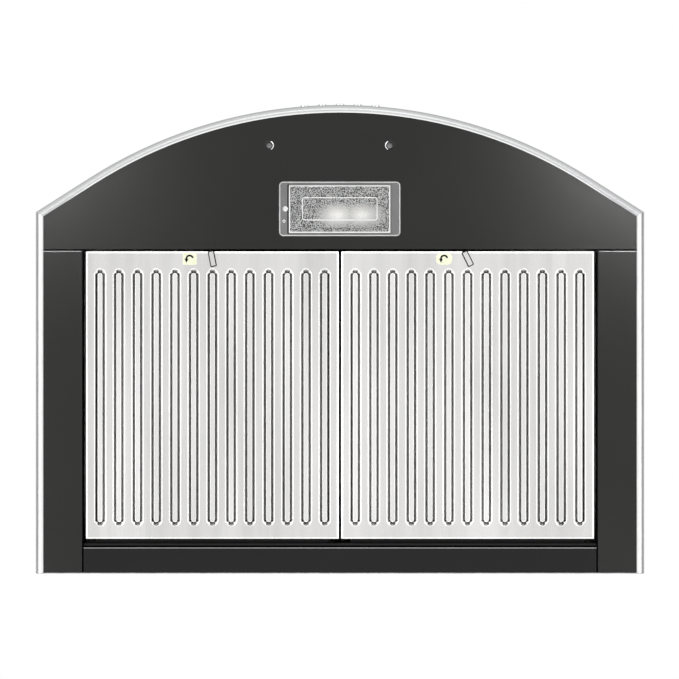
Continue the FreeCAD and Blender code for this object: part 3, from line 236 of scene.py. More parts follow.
    def toward(self, amount: Socket, first: Socket, colour: Colour) -> Socket:
        """One colour that gives way to a plain one.

        Args:
            amount: How far it gives way, from 0 to 1.
            first: The colour.
            colour: The plain colour.

        Returns:
            The mixed colour.
        """
        node = self.mixer(first, "MIX")
        self.links.new(amount, node.inputs["Factor"])
        node.inputs[MIX_SECOND].default_value = (*colour, 1.0)
        return node.outputs[MIX_RESULT]

    def source(self, name: str) -> Socket:
        """The socket that feeds an input of the surface."""
        return self.surface.inputs[name].links[0].from_socket

    def bump(self, height: Socket, depth: float, strength: float, under: Socket | None = None) -> Socket:
        """Relief from a height.

        Args:
            height: The height, from 0 to 1.
            depth: What a height of 1 stands for, in metres.
            strength: How much of the relief shows.
            under: Coarser relief below this one.

        Returns:
            The bent normal.
        """
        feeds = {"Height": height}
        if under is not None:
            feeds["Normal"] = under
        return self.add("Bump", feeds, Distance=depth, Strength=strength).outputs["Normal"]

    def finish(self, feeds: dict[str, Socket], **values: float | Sequence[float]) -> Material:
        """Set the surface's inputs.

        Args:
            feeds: Sockets that feed its inputs, by input name.
            **values: Plain values of its inputs, by name with underscores for spaces.

        Returns:
            The finished material.
        """
        for name, socket in feeds.items():
            self.links.new(socket, self.surface.inputs[name])
        for name, value in values.items():
            self.surface.inputs[name.replace("_", " ")].default_value = value
        return self.material


# Finishes


@dataclass(frozen=True)
class Finish:
    """A surface finish, made into a material once and then shared."""

    name: str
    colour: Colour

    def recipe(self) -> Material:
        """Put the material together; each kind of finish has its own way."""
        raise NotImplementedError

    def material(self) -> Material:
        """The material of this finish, made at its first use."""
        return bpy.data.materials.get(self.name) or self.recipe()


@dataclass(frozen=True)
class BrushedSteel(Finish):
    """Stainless sheet with a fine grain and soft clouds."""

    grain: Axis = Axis.ACROSS
    roughness: float = 0.3
    clouds: float = 0.06

    def recipe(self) -> Material:
        """Grain streaks in colour, gloss and relief, over broad clouds.

        Returns:
            The material.
        """
        make = Recipe(self.name)
        streaks = make.noise(scale=1600.0, detail=4.0, stretch=self.grain.value)
        clouds = make.noise(scale=7.0, detail=2.0)
        sheet = make.tint(streaks, self.colour, low=0.93, high=1.05)
        return make.finish(
            {
                "Base Color": make.times(sheet, make.dimmer(clouds, least=1.0 - self.clouds)),
                "Roughness": make.rough(streaks, self.roughness, less=0.05, more=0.07),
                "Normal": make.bump(streaks, depth=0.04 * MM, strength=0.35),
            },
            Metallic=1.0,
        )


@dataclass(frozen=True)
class LippedSteel(BrushedSteel):
    """Brushed sheet of a curved band, with a painted highlight along its inner flange."""

    centre: tuple[float, float] = (0.0, 0.0)
    inner: float = 0.0
    flange: float = 2.0 * MM
    # The flange's painted highlight: where its fade starts, as a share of the flange, and its colour.
    burnished: float = 0.6
    bright: Colour = (0.97, 0.97, 0.97)

    def recipe(self) -> Material:
        """The brushed sheet, with a painted highlight: its colour raised near the band's inner radius.

        Returns:
            The material.
        """
        super().recipe()
        make = Recipe(self.name)
        place = make.add("TexCoord").outputs["Object"]
        flat = make.add("Mapping", {"Vector": place}, Location=(-self.centre[0], -self.centre[1], 0.0),
                        Scale=(1.0, 1.0, 0.0))
        reach = make.add("VectorMath", {"Vector": flat.outputs["Vector"]})
        reach.operation = "LENGTH"
        # How far a point lies inside the painted highlight, from 1 at the inner edge to 0.
        near = make.between(reach.outputs["Value"], low=1.0, high=0.0, stop=self.inner + self.flange,
                            start=self.inner + self.burnished * self.flange)
        return make.finish({"Base Color": make.toward(near, make.source("Base Color"), self.bright)})


@dataclass(frozen=True)
class PressedSteel(Finish):
    """Bright stainless sheet, a little wavy from the press."""

    roughness: float = 0.24

    def recipe(self) -> Material:
        """Lengthwise clouds and waves over a faint grain.

        Returns:
            The material.
        """
        make = Recipe(self.name)
        clouds = make.noise(scale=9.0, detail=3.0, stretch=(1.0, 0.3, 1.0))
        bands = make.noise(scale=70.0, detail=2.0, stretch=(1.0, 0.05, 1.0))
        waves = make.noise(scale=26.0, detail=2.0, stretch=(1.0, 0.25, 1.0))
        streaks = make.noise(scale=1500.0, detail=3.0, stretch=Axis.BACKWARD.value)
        cloud = make.tint(clouds, self.colour, low=0.9, high=1.08)
        grain = make.times(make.dimmer(streaks, least=0.985), make.dimmer(bands, least=0.9))
        relief = make.bump(waves, depth=1.2 * MM, strength=0.3)
        return make.finish(
            {
                "Base Color": make.times(cloud, grain),
                "Roughness": make.rough(streaks, self.roughness, less=0.04, more=0.06),
                "Normal": make.bump(streaks, depth=0.02 * MM, strength=0.08, under=relief),
            },
            Metallic=1.0,
        )


@dataclass(frozen=True)
class PowderCoat(Finish):
    """Baked powder paint with a fine grained skin."""

    roughness: float = 0.42
    gloss: float = 0.22

    def recipe(self) -> Material:
        """Fine grain in relief and gloss, and faint broad clouds in colour.

        Returns:
            The material.
        """
        make = Recipe(self.name)
        grain = make.noise(scale=1900.0, detail=3.0)
        clouds = make.noise(scale=5.0, detail=2.0)
        specks = make.noise(scale=800.0, detail=1.0)
        cloud = make.tint(clouds, self.colour, low=0.86, high=1.16)
        return make.finish(
            {
                "Base Color": make.times(cloud, make.dimmer(specks, least=0.9)),
                "Roughness": make.rough(grain, self.roughness, less=0.06, more=0.08),
                "Normal": make.bump(grain, depth=0.06 * MM, strength=0.4),
            },
            Specular_IOR_Level=self.gloss,
        )


@dataclass(frozen=True)
class ZincSheet(Finish):
    """Zinc-coated sheet with its crystal spangle."""

    roughness: float = 0.46

    def recipe(self) -> Material:
        """Crystal cells in colour and gloss, with dull clouds.

        Returns:
            The material.
        """
        make = Recipe(self.name)
        crystals = make.cells(scale=95.0, feature="Color")
        clouds = make.noise(scale=18.0, detail=4.0)
        span = {"start": 0.1, "stop": 0.9}
        spangle = make.tint(crystals, self.colour, low=0.84, high=1.08, **span)
        return make.finish(
            {
                "Base Color": make.times(spangle, make.dimmer(clouds, least=0.9)),
                "Roughness": make.rough(crystals, self.roughness, less=0.08, more=0.1, **span),
                "Normal": make.bump(make.noise(scale=700.0, detail=2.0), depth=0.03 * MM, strength=0.25),
            },
            Metallic=0.9,
        )


@dataclass(frozen=True)
class Moulded(Finish):
    """Moulded plastic, ceramic or enamel with a fine skin."""

    roughness: float = 0.5
    grain: float = 1200.0
    depth: float = 0.05 * MM

    def recipe(self) -> Material:
        """A fine skin in relief and a little unevenness in colour and gloss.

        Returns:
            The material.
        """
        make = Recipe(self.name)
        skin = make.noise(scale=self.grain, detail=3.0)
        clouds = make.noise(scale=24.0, detail=3.0)
        return make.finish(
            {
                "Base Color": make.tint(clouds, self.colour, low=0.88, high=1.1),
                "Roughness": make.rough(clouds, self.roughness, less=0.06, more=0.08),
                "Normal": make.bump(skin, self.depth, strength=0.4),
            }
        )


@dataclass(frozen=True)
class PlatedScrew(Finish):
    """Plated steel with small scuffs."""

    roughness: float = 0.26

    def recipe(self) -> Material:
        """Scuffs in gloss, colour and relief.

        Returns:
            The material.
        """
        make = Recipe(self.name)
        scuffs = make.noise(scale=900.0, detail=4.0)
        return make.finish(
            {
                "Base Color": make.tint(scuffs, self.colour, low=0.8, high=1.1),
                "Roughness": make.rough(scuffs, self.roughness, less=0.06, more=0.14),
                "Normal": make.bump(scuffs, depth=0.04 * MM, strength=0.3),
            },
            Metallic=1.0,
        )


@dataclass(frozen=True)
class Glow:
    """Light from the two filaments of a bulb."""

    strength: float
    first: Place
    second: Place
    reach: Place
    full: float = 0.9
    stray: float = 0.01

    def share(self, make: Recipe) -> Socket:
        """How far a point of a piece is lit, from 0 to 1, in the material that is put together."""
        halos = (make.halo(place, self.reach) for place in (self.first, self.second))
        return make.between(make.combine("MAXIMUM", *halos), 0.0, 1.0, start=0.0, stop=self.full)

    def light(self, make: Recipe) -> Socket:
        """The strength of the light in the material that is put together."""
        return make.between(self.share(make), self.stray * self.strength, self.strength, start=0.0, stop=1.0)


@dataclass(frozen=True)
class StippledLens(Finish):
    """Milky clear plastic with a pebbled skin, lit from behind."""

    glow: Glow
    pebbles: float = 740.0
    depth: float = 0.2 * MM
    clearness: float = 0.3
    wash: float = 0.6
    washed_shade: float = 0.6
    light_colour: Colour = (1.0, 0.99, 0.96)

    def recipe(self) -> Material:
        """Round pebbles in relief, clear in their hollows, milky on their tops, and lost in the light.

        Returns:
            The material.
        """
        make = Recipe(self.name)
        pebble = make.cells(self.pebbles, feature="Distance")
        clouds = make.noise(scale=30.0, detail=3.0)
        milk = make.tint(pebble, self.colour, low=2.2, high=0.03, start=0.2, stop=0.66)
        skin = make.times(milk, make.dimmer(clouds, least=0.88))
        washed = make.between(self.glow.share(make), 0.0, 1.0, start=0.0, stop=self.wash)
        return make.finish(
            {
                "Base Color": make.toward(washed, skin, shade(self.colour, self.washed_shade)),
                "Roughness": make.between(pebble, low=0.22, high=0.36, start=0.0, stop=0.8),
                "Normal": make.bump(pebble, self.depth, strength=0.7),
                "Emission Strength": self.glow.light(make),
            },
            Emission_Color=(*self.light_colour, 1.0),
            Transmission_Weight=self.clearness,
            IOR=1.49,
        )


@dataclass(frozen=True)
class LitGlass(Finish):
    """Frosted glass of a lamp that glows softly beside its two filaments."""

    glow: Glow

    def recipe(self) -> Material:
        """A frosted skin with a warm, slightly cloudy glow.

        Returns:
            The material.
        """
        make = Recipe(self.name)
        clouds = make.noise(scale=60.0, detail=2.0)
        warm = make.tint(clouds, self.colour, low=0.9, high=1.0)
        return make.finish(
            {
                "Base Color": warm,
                "Emission Color": warm,
                "Emission Strength": self.glow.light(make),
                "Roughness": make.between(clouds, low=0.35, high=0.5),
                "Normal": make.bump(make.noise(scale=2500.0, detail=2.0), depth=0.02 * MM, strength=0.3),
            }
        )


@dataclass(frozen=True)
class Printed(Finish):
    """Printed sticker paper with a faint fibre."""

    def recipe(self) -> Material:
        """Fibre in relief and worn clouds in colour.

        Returns:
            The material.
        """
        make = Recipe(self.name)
        fibre = make.noise(scale=1400.0, detail=4.0)
        wear = make.noise(scale=160.0, detail=3.0)
        return make.finish(
            {
                "Base Color": make.tint(wear, self.colour, low=0.86, high=1.08),
                "Roughness": make.between(fibre, low=0.42, high=0.6),
                "Normal": make.bump(fibre, depth=0.03 * MM, strength=0.3),
            },
            Specular_IOR_Level=0.1,
        )


@dataclass(frozen=True)
class StageCard(Finish):
    """Card paint that fades from pale at its lower edge to dark."""

    bottom: float
    top: float
    pale: Colour = (0.9, 0.9, 0.9)

    def recipe(self) -> Material:
        """A fade along the height with faint clouds.

        Returns:
            The material.
        """
        make = Recipe(self.name)
        height = make.add("SeparateXYZ", {"Vector": make.spots()}).outputs["Z"]
        fade = make.between(height, 0.0, 1.0, start=self.bottom, stop=self.top)
        paint = make.blend(fade, self.pale, self.colour, start=0.0, stop=1.0)
        cloud = make.dimmer(make.noise(scale=2.0, detail=3.0), least=0.96)
        return make.finish({"Base Color": make.times(paint, cloud)}, Roughness=0.9, Specular_IOR_Level=0.1)


@dataclass(frozen=True)
class StageFloor(Finish):
    """Pale floor paint that keeps a shadow, and shows as white far off, in gloss and through glass."""

    far: float = 14.0

    def recipe(self) -> Material:
        """Matt paint for the camera and for soft light, plain white for reflections.

        Returns:
            The material.
        """
        make = Recipe(self.name)
        clouds = make.noise(scale=1.5, detail=3.0)
        paint = make.tint(clouds, self.colour, low=0.97, high=1.02)
        make.finish({"Base Color": paint}, Roughness=0.9, Specular_IOR_Level=0.2)
        rays = make.add("LightPath").outputs
        near = make.halo((0.0, 0.0, 0.0), (self.far,) * 3)
        away = make.between(near, low=1.0, high=0.0, start=0.0, stop=0.5)
        far = make.combine("MULTIPLY", away, rays["Is Camera Ray"])
        clear = make.combine("MAXIMUM", rays["Is Glossy Ray"], rays["Is Transmission Ray"])
        mix = make.add("MixShader", {"Fac": make.combine("MAXIMUM", far, clear)})
        white = make.add("Emission", Color=(*WHITE, 1.0), Strength=1.0)
        for shader, socket in zip((make.surface, white), mix.inputs[1:]):
            make.links.new(shader.outputs[0], socket)
        make.links.new(mix.outputs[0], make.nodes["Material Output"].inputs["Surface"])
        return make.material


STEEL_GREY: Colour = (0.63, 0.635, 0.64)
STAINLESS = BrushedSteel("stainless_sheet", STEEL_GREY)
STAINLESS_UPRIGHT = BrushedSteel("stainless_chimney", STEEL_GREY, Axis.UPRIGHT)
STAINLESS_SIDE = BrushedSteel("stainless_side", STEEL_GREY, Axis.BACKWARD)
# A lighter copy of the stainless for the side bands: painted light that brightens their lips.
STAINLESS_BAND_LIT = BrushedSteel("stainless_side_band", (0.8, 0.8, 0.8), Axis.BACKWARD)
# The front band, with a painted highlight along its lip's inner flange.
FRONT_BAND = LippedSteel("stainless_front_band", STEEL_GREY, centre=(0.0, ARC_CENTRE),
                         inner=ARC_RADIUS - LIP_DEPTH)
BUTTON_METAL = BrushedSteel("brushed_button", (0.96, 0.96, 0.96), roughness=0.24, clouds=0.02)
FILTER_STEEL = PressedSteel("filter_sheet", (0.79, 0.785, 0.775))
BAFFLE_STEEL = PressedSteel("baffle_sheet", (0.86, 0.855, 0.85), roughness=0.3)
BLACK_COAT = PowderCoat("black_powder_coat", (0.006, 0.006, 0.0058))
PANEL_COAT = PowderCoat("panel_powder_coat", (0.01, 0.01, 0.0092), roughness=0.44, gloss=0.3)
# A light grey, glossy coat on the rails' bends: a painted highlight.
EDGE_HIGHLIGHT_COAT = PowderCoat("worn_coat_edge", (0.36, 0.36, 0.362), roughness=0.24, gloss=0.9)
ZINC = ZincSheet("spangled_zinc", (0.5, 0.51, 0.52))
# Near-black steel: painted shade, on the latch tabs' lower edges and on the hooks in the dark gap at the
# filters' rear.
SHADE_STEEL = PlatedScrew("hook_steel", (0.03, 0.03, 0.032), roughness=0.5)
BRIGHT_SCREW = PlatedScrew("plated_screw", (0.6, 0.6, 0.6))
LENS_SCREW = PlatedScrew("bright_lens_screw", (0.95, 0.95, 0.94), roughness=0.2)
PANEL_SCREW = PlatedScrew("panel_screw", (0.2, 0.2, 0.205), roughness=0.3)
# Bright steel arcs on the screws' dishes: painted highlights.
DISH_HIGHLIGHT_STEEL = PlatedScrew("bare_scuff", (0.8, 0.8, 0.8), roughness=0.3)
BLACK_PLASTIC = Moulded("moulded_black", (0.016, 0.016, 0.017), roughness=0.48)
GREY_PLASTIC = Moulded("moulded_grey", (0.23, 0.235, 0.24))
MOTOR_ENAMEL = Moulded("motor_enamel", (0.07, 0.072, 0.076), roughness=0.36, grain=500.0, depth=0.08 * MM)
CERAMIC = Moulded("glazed_ceramic", (0.76, 0.75, 0.72), roughness=0.3, grain=300.0, depth=0.04 * MM)
LENS_BAND = Moulded("lens_band_plastic", (0.16, 0.161, 0.16), roughness=0.3, grain=350.0, depth=0.2 * MM)
# Near-white plastic on the lens's rims and raised lines: painted highlight.
LENS_EDGE_HIGHLIGHT = Moulded("lens_edge_plastic", (0.86, 0.86, 0.85), roughness=0.25, grain=700.0, depth=0.03 * MM)
# Near-black plastic in the lens groove's left side: painted shade.
LENS_GROOVE_SHADE = Moulded("lens_gap_plastic", (0.012, 0.012, 0.012), roughness=0.6, grain=700.0, depth=0.03 * MM)
LENS_GLOW = Glow(strength=0.41, first=(-0.003, -0.441, 0.0008), second=(0.0285, -0.441, 0.0008),
                 reach=(0.031, 0.0175, 0.02))
LENS_PLASTIC = StippledLens("stippled_window", (0.45, 0.454, 0.45), LENS_GLOW)
BULB_GLOW = Glow(strength=7.0, first=(-0.0037, -0.441, 0.016), second=(0.0265, -0.441, 0.016),
                 reach=(0.02, 0.02, 0.02))
BULB_GLASS = LitGlass("lit_bulb", (1.0, 0.97, 0.9), BULB_GLOW)
STICKER_PAPER = Printed("sticker_paper", (0.86, 0.88, 0.66))
STICKER_INK = Printed("sticker_ink", (0.004, 0.004, 0.004))


# Helpers for nodes and pieces


# The material number of a piece's second finish.
SECOND_FINISH = 1

# An edge looks sharp where its faces turn by more than this.
CREASE = math.radians(32)

# The least part of a unit direction along an axis that counts as lying along it.
ALONG = 0.99


class Slot(Enum):
    """The record's material slots that new pieces belong to."""

    FILTER_STEEL = "filter_steel"
    BLACK_COAT = "black_coat"
    SCREW_STEEL = "screw_steel"
    LENS_PLASTIC = "lens_plastic"
    BLACK_PLASTIC = "black_plastic"
    GREY_PLASTIC = "grey_plastic"


class Side(Enum):
    """The two sides of the hood, with the sign of their X."""

    LEFT = -1
    RIGHT = 1

    @property
    def word(self) -> str:
        """The side's name in node and body names."""
        return self.name.lower()


def dress(finish: Finish, *nodes: str) -> None:
    """Give CAD nodes a finish.

    Args:
        finish: The finish.
        *nodes: The names of the nodes.
    """
    for node in nodes:
        slots = bpy.data.objects[node].data.materials
        slots.clear()
        slots.append(finish.material())
        log.info("dressed %s with %s", node, finish.name)


def corners_of(node: str) -> tuple[Vector, Vector]:
    """The lowest and the highest corner of a CAD node's box."""
    low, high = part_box(node)
    return Vector(low), Vector(high)


def points_of(shape: Iterable[BMVert | BMEdge | BMFace]) -> list[BMVert]:
    """The points among the parts of a shape."""
    return [part for part in shape if isinstance(part, BMVert)]


def edges_of(points: Iterable[BMVert]) -> list[BMEdge]:
    """All edges that touch some points, each once."""
    return list(dict.fromkeys(edge for point in points for edge in point.link_edges))


def upright(edges: Iterable[BMEdge]) -> list[BMEdge]:
    """The edges that run along Z."""
    return [edge for edge in edges if abs((edge.verts[0].co - edge.verts[1].co).normalized().z) > ALONG]


def as_object(name: str, mesh: BMesh, finishes: Iterable[Finish]) -> bpy.types.Object:
    """Turn a mesh into an object of the scene.

    Args:
        name: The object's name.
        mesh: The mesh, which is freed.
        finishes: Its finishes, in the order of its faces' material numbers.

    Returns:
        The new object.
    """
    data = bpy.data.meshes.new(name)
    mesh.to_mesh(data)
    mesh.free()
    for finish in finishes:
        data.materials.append(finish.material())
    made = bpy.data.objects.new(name, data)
    bpy.context.scene.collection.objects.link(made)
    return made


@dataclass
class Piece:
    """A new piece: its mesh while it is shaped, and what it belongs to."""

    name: str
    body: str
    slot: Slot
    mesh: BMesh = field(default_factory=bmesh.new)

    def make(self, *finishes: Finish, replaces: Iterable[str] = (), wall: float = 0.0,
             crease: float = CREASE) -> None:
        """Turn the mesh into an object that rides on its body.

        Args:
            *finishes: The finishes of the piece, in the order of its faces' material numbers.
            replaces: CAD nodes that the piece stands for.
            wall: The wall thickness that a sheet gets on its inner side, or 0 for a solid mesh.
            crease: The angle between faces from which an edge looks sharp.
        """
        for face in self.mesh.faces:
            face.smooth = True
        for edge in self.mesh.edges:
            edge.smooth = edge.calc_face_angle(0.0) < crease
        piece = as_object(self.name, self.mesh, finishes)
        if wall:
            thicken = piece.modifiers.new("wall", "SOLIDIFY")
            thicken.thickness = wall
            thicken.offset = -1.0
        flats = piece.modifiers.new("flat_faces", "WEIGHTED_NORMAL")
        flats.keep_sharp = True
        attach(piece, self.body)
        for node in replaces:
            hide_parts(node)
        log.info("built %s: %d faces", self.name, len(piece.data.polygons))

    def outward(self) -> None:
        """Point every face outwards."""
        bmesh.ops.recalc_face_normals(self.mesh, faces=self.mesh.faces[:])

    def clean(self) -> None:
        """Merge doubled points and point every face outwards."""
        bmesh.ops.remove_doubles(self.mesh, verts=self.mesh.verts[:], dist=TOLERANCE)
        self.outward()

    def turn_over(self) -> None:
        """Turn all faces over."""
        bmesh.ops.reverse_faces(self.mesh, faces=self.mesh.faces[:])

    def look_down(self) -> None:
        """Point the faces of a sheet one way, with its widest flat face down."""
        self.outward()
        widest = max(self.mesh.faces, key=lambda face: abs(face.normal.z) * face.calc_area())
        if widest.normal.z > 0:
            self.turn_over()

    def each_down(self) -> None:
        """Turn over each face that looks up."""
        bmesh.ops.reverse_faces(self.mesh, faces=[face for face in self.mesh.faces if face.normal.z > 0])

    def block(self, low: Sequence[float], high: Sequence[float]) -> list[BMVert]:
        """Add a box.

        Args:
            low: Its lowest corner.
            high: Its highest corner.

        Returns:
            Its points.
        """
        size = Vector(high) - Vector(low)
        middle = (Vector(high) + Vector(low)) / 2
        place = Matrix.Translation(middle) @ Matrix.Diagonal((*size, 1.0))
        return bmesh.ops.create_cube(self.mesh, size=1.0, matrix=place)["verts"]

    def rod(self, radius: float, length: float, place: Matrix, steps: int) -> None:
        """Add a round rod about the middle of a place, along its Z."""
        bmesh.ops.create_cone(self.mesh, cap_ends=True, segments=steps, radius1=radius, radius2=radius,
                              depth=length, matrix=place)

    def round_edges(self, edges: Iterable[BMEdge], radius: float, segments: int) -> list[BMFace]:
        """Round some edges by a radius, in a number of steps, and give the faces of the rounding."""
        return bmesh.ops.bevel(self.mesh, geom=list(dict.fromkeys(edges)), offset=radius,
                               offset_type="OFFSET", affect="EDGES", segments=segments, profile=0.5,
                               material=-1, clamp_overlap=True)["faces"]

    def turn(self, profile: Sequence[Sequence[float]], centre: Sequence[float], steps: int) -> None:
        """Turn a profile right round an upright axis, as on a lathe.

        Args:
            profile: The profile's points.
            centre: A point of the axis.
            steps: How many steps a full turn has.
        """
        points = [self.mesh.verts.new(point) for point in profile]
        edges = [self.mesh.edges.new(pair) for pair in zip(points, points[1:])]
        bmesh.ops.spin(self.mesh, geom=points + edges, cent=centre, axis=(0, 0, 1), angle=math.tau,
                       steps=steps, use_merge=True, use_duplicate=False)
        self.clean()

    def sweep(self, points: list[BMVert], centre: Sequence[float], angle: float, steps: int) -> None:
        """Sweep a line between two points part of the way round an upright axis.

        Args:
            points: The line's two ends.
            centre: A point of the axis.
            angle: How far it goes round.
            steps: How many steps it takes.
        """
        line = self.mesh.edges.new(points)
        bmesh.ops.spin(self.mesh, geom=[*points, line], cent=centre, axis=(0, 0, 1), angle=angle,
                       steps=steps, use_duplicate=False)


# Sub-assemblies


@dataclass
class BaffleFilter:
    """A grease filter: a pressed face with rolled slots over a sheet of beaded baffle strips."""

    side: Side
    handle_tilt: float
    sticker_low: float
    sticker_high: float
    sticker_corner: float
    sheet: float = 0.8 * MM
    face_wall: float = 0.76 * MM
    face_crease: float = math.radians(20)
    hem_slope: float = 1.7 * MM
    hem_edge: float = 0.8 * MM
    hem_drop: float = 0.8 * MM
    hem_return: float = 0.72 * MM
    slot_count: int = 13
    slot_margin: float = 17.7 * MM
    slot_width: float = 11.0 * MM
    slot_end: float = 20.5 * MM
    slot_shift: float = 3.0 * MM
    roll: float = 2.7 * MM
    roll_steps: int = 5
    end_steps: int = 40
    pucker_depth: float = 2.6 * MM
    pucker_angle: float = math.radians(56)
    pucker_spread: float = math.radians(19)
    baffle_low: float = 11.0 * MM
    baffle_inset: float = 1.1 * MM
    strip_width: float = 15.5 * MM
    gap_short: float = 8.0 * MM
    bead_width: float = 6.4 * MM
    bead_short: float = 3.2 * MM
    bead_low: float = 5.5 * MM
    bead_round: float = 1.0 * MM
    bead_flare: float = 2.6 * MM
    frame_return: float = 6.0 * MM
    window_width: float = 26.0 * MM
    window_shift: float = 4.0 * MM
    window_top: float = 6.6 * MM
    hook_radius: float = 2.5 * MM
    hook_height: float = 9.0 * MM
    hook_steps: int = 20
    latch_inset: float = 9.5 * MM
    handle_length: float = 20.0 * MM
    handle_width: float = 8.0 * MM
    handle_low: float = 1.2 * MM
    handle_high: float = 2.7 * MM
    handle_edge: float = 1.3 * MM
    handle_corner: float = 1.4 * MM
    shaft_radius: float = 2.5 * MM
    shaft_top: float = 5.3 * MM
    shaft_steps: int = 24
    sticker_front: float = -394.8 * MM
    sticker_rear: float = -380.0 * MM
    sticker_thickness: float = 0.08 * MM
    sticker_gap: float = 0.01 * MM
    arrow_radius: float = 4.0 * MM
    arrow_half: float = 1.1 * MM
    arrow_head: float = 2.4 * MM
    arrow_start: float = math.radians(-15)
    arrow_sweep: float = math.radians(-165)
    arrow_steps: int = 16
    ink: float = 0.02 * MM
    low: Vector = field(init=False)
    high: Vector = field(init=False)

    def __post_init__(self) -> None:
        """Take the filter's place and size from its CAD face."""
        self.low, self.high = corners_of(f"{self.body}_face")

    @property
    def body(self) -> str:
        """The body that the filter is."""
        return f"filter_{self.side.word}"

    @property
    def latch(self) -> str:
        """The body that the filter's latch is."""
        return f"latch_{self.side.word}"

    @property
    def x(self) -> float:
        """The X of the filter's middle."""
        return (self.low.x + self.high.x) / 2

    @property
    def y(self) -> float:
        """The Y of the filter's middle."""
        return (self.low.y + self.high.y) / 2

    @property
    def width(self) -> float:
        """The filter's size along X."""
        return self.high.x - self.low.x

    @property
    def length(self) -> float:
        """The filter's size along Y."""
        return self.high.y - self.low.y

    @property
    def bottom(self) -> float:
        """The height of the flat web's lower side, a little above the hem."""
        return self.low.z + self.hem_drop

    @property
    def slot_pitch(self) -> float:
        """The distance from slot to slot."""
        return (self.width - 2 * self.slot_margin) / (self.slot_count - 1)

    @property
    def slot_length(self) -> float:
        """The length of a slot."""
        return self.length - 2 * self.slot_end

    def build(self) -> None:
        """Build the filter's new pieces and dress its latch's tongue."""
        self.face()
        self.baffles()
        self.frame()
        self.hook()
        self.handle()
        self.sticker()
        dress(FILTER_STEEL, f"{self.latch}_tongue")

    def places(self, count: int, level: float = 0.0) -> list[Vector]:
        """Centred places across the filter, one slot pitch apart.

        Args:
            count: How many there are.
            level: Their height.

        Returns:
            The places, from left to right.
        """
        middle = (count - 1) / 2
        row = self.y + self.slot_shift
        return [Vector((self.x + (index - middle) * self.slot_pitch, row, level)) for index in range(count)]

    def roll_on(self, piece: Piece, start: BMVert, centre_x: float, centre_z: float, turn: float) -> BMVert:
        """Continue a profile by an arc.

        Args:
            piece: The piece that the profile belongs to.
            start: The profile's last point.
            centre_x: The X of the arc's middle.
            centre_z: The height of the arc's middle.
            turn: The angle of the arc.

        Returns:
            The profile's new last point.
        """
        arc = bmesh.ops.spin(piece.mesh, geom=[start], cent=(centre_x, 0.0, centre_z), axis=(0, 1, 0),
                             angle=turn, steps=self.roll_steps, use_duplicate=False)
        return points_of(arc["geom_last"])[0]

    def pucker(self, point: BMVert, start: float) -> None:
        """Press a point of a ring's end inwards where the sheet gathers, beside the middle of the end.

        Args:
            point: The point.
            start: The height where the gathers begin.
        """
        angle = math.atan2(abs(point.co.x), abs(point.co.y))
        gather = math.exp(-((angle - self.pucker_angle) / self.pucker_spread) ** 2)
        depth = min((point.co.z - start) / self.roll, 1.0)
        flat = Vector((point.co.x, point.co.y, 0.0))
        point.co -= flat.normalized() * self.pucker_depth * gather * depth

    def oblong(self, piece: Piece, start: Sequence[float], turn: float, level: float, reach: float,
               flare: float = 0.0, pucker: bool = False) -> list[BMVert]:
        """Add an oblong ring about the origin, with a rolled edge, a straight wall and a flared end.

        Args:
            piece: The piece that it is added to.
            start: The roll's first point and the middle of its arc, as X, Z, X, Z.
            turn: The angle of the roll's arc.
            level: The height where the ring ends.
            reach: How far the two halves of the ring are moved apart, each way.
            flare: The radius of the outward flare at its end, or 0 for none.
            pucker: Whether the sheet gathers at the ring's ends.

        Returns:
            The ring's points.
        """
        first = piece.mesh.verts.new((start[0], 0.0, start[1]))
        end = self.roll_on(piece, first, start[2], start[3], turn)
        wall = bmesh.ops.extrude_vert_indiv(piece.mesh, verts=[end])["verts"]
        bmesh.ops.translate(piece.mesh, verts=wall, vec=(0.0, 0.0, level - flare - end.co.z))
        if flare:
            self.roll_on(piece, wall[0], wall[0].co.x + flare, level - flare, math.pi / 2)
        profile = piece.mesh.verts[:] + piece.mesh.edges[:]
        bmesh.ops.rotate(piece.mesh, verts=piece.mesh.verts[:], cent=(0, 0, 0),
                         matrix=Matrix.Rotation(math.pi / self.end_steps, 3, "Z"))
        bmesh.ops.spin(piece.mesh, geom=profile, cent=(0, 0, 0), axis=(0, 0, 1), angle=math.tau,
                       steps=self.end_steps, use_merge=True, use_duplicate=False)
        piece.clean()
        for point in piece.mesh.verts:
            if pucker:
                self.pucker(point, start[1])
            point.co.y += math.copysign(reach, point.co.y)
        return piece.mesh.verts[:]

    def repeat(self, piece: Piece, first: list[BMVert]) -> None:
        """Copy a shape from the origin to every slot.

        Args:
            piece: The piece that it belongs to.
            first: The shape's points.
        """
        shape = first + edges_of(first) + piece.mesh.faces[:]
        for place in self.places(self.slot_count):
            copy = bmesh.ops.duplicate(piece.mesh, geom=shape)["geom"]
            bmesh.ops.translate(piece.mesh, vec=place, verts=points_of(copy))
        bmesh.ops.delete(piece.mesh, geom=first, context="VERTS")

    def open_edges(self, piece: Piece, level: float) -> list[BMEdge]:
        """The open edges of a piece that lie at one height."""
        return [edge for edge in piece.mesh.edges if edge.is_boundary
                and all(abs(point.co.z - level) < TOLERANCE for point in edge.verts)]

    def rectangle(self, piece: Piece, centre: Sequence[float], width: float, length: float) -> list[BMEdge]:
        """Add a level rectangle of edges.

        Args:
            piece: The piece that it is added to.
            centre: Its middle.
            width: Its size along X.
            length: Its size along Y.

        Returns:
            Its four edges.
        """
        x, y, level = centre
        points = [piece.mesh.verts.new((x + right * width / 2, y + back * length / 2, level))
                  for right, back in ((-1, -1), (1, -1), (1, 1), (-1, 1))]
        return [piece.mesh.edges.new(pair) for pair in zip(points, points[1:] + points[:1])]

    def outline(self, piece: Piece, inset: float, level: float) -> list[BMEdge]:
        """Add a level rectangle of edges that lies inside the filter's edge, and give its edges."""
        centre = (self.x, self.y, level)
        return self.rectangle(piece, centre, self.width - 2 * inset, self.length - 2 * inset)

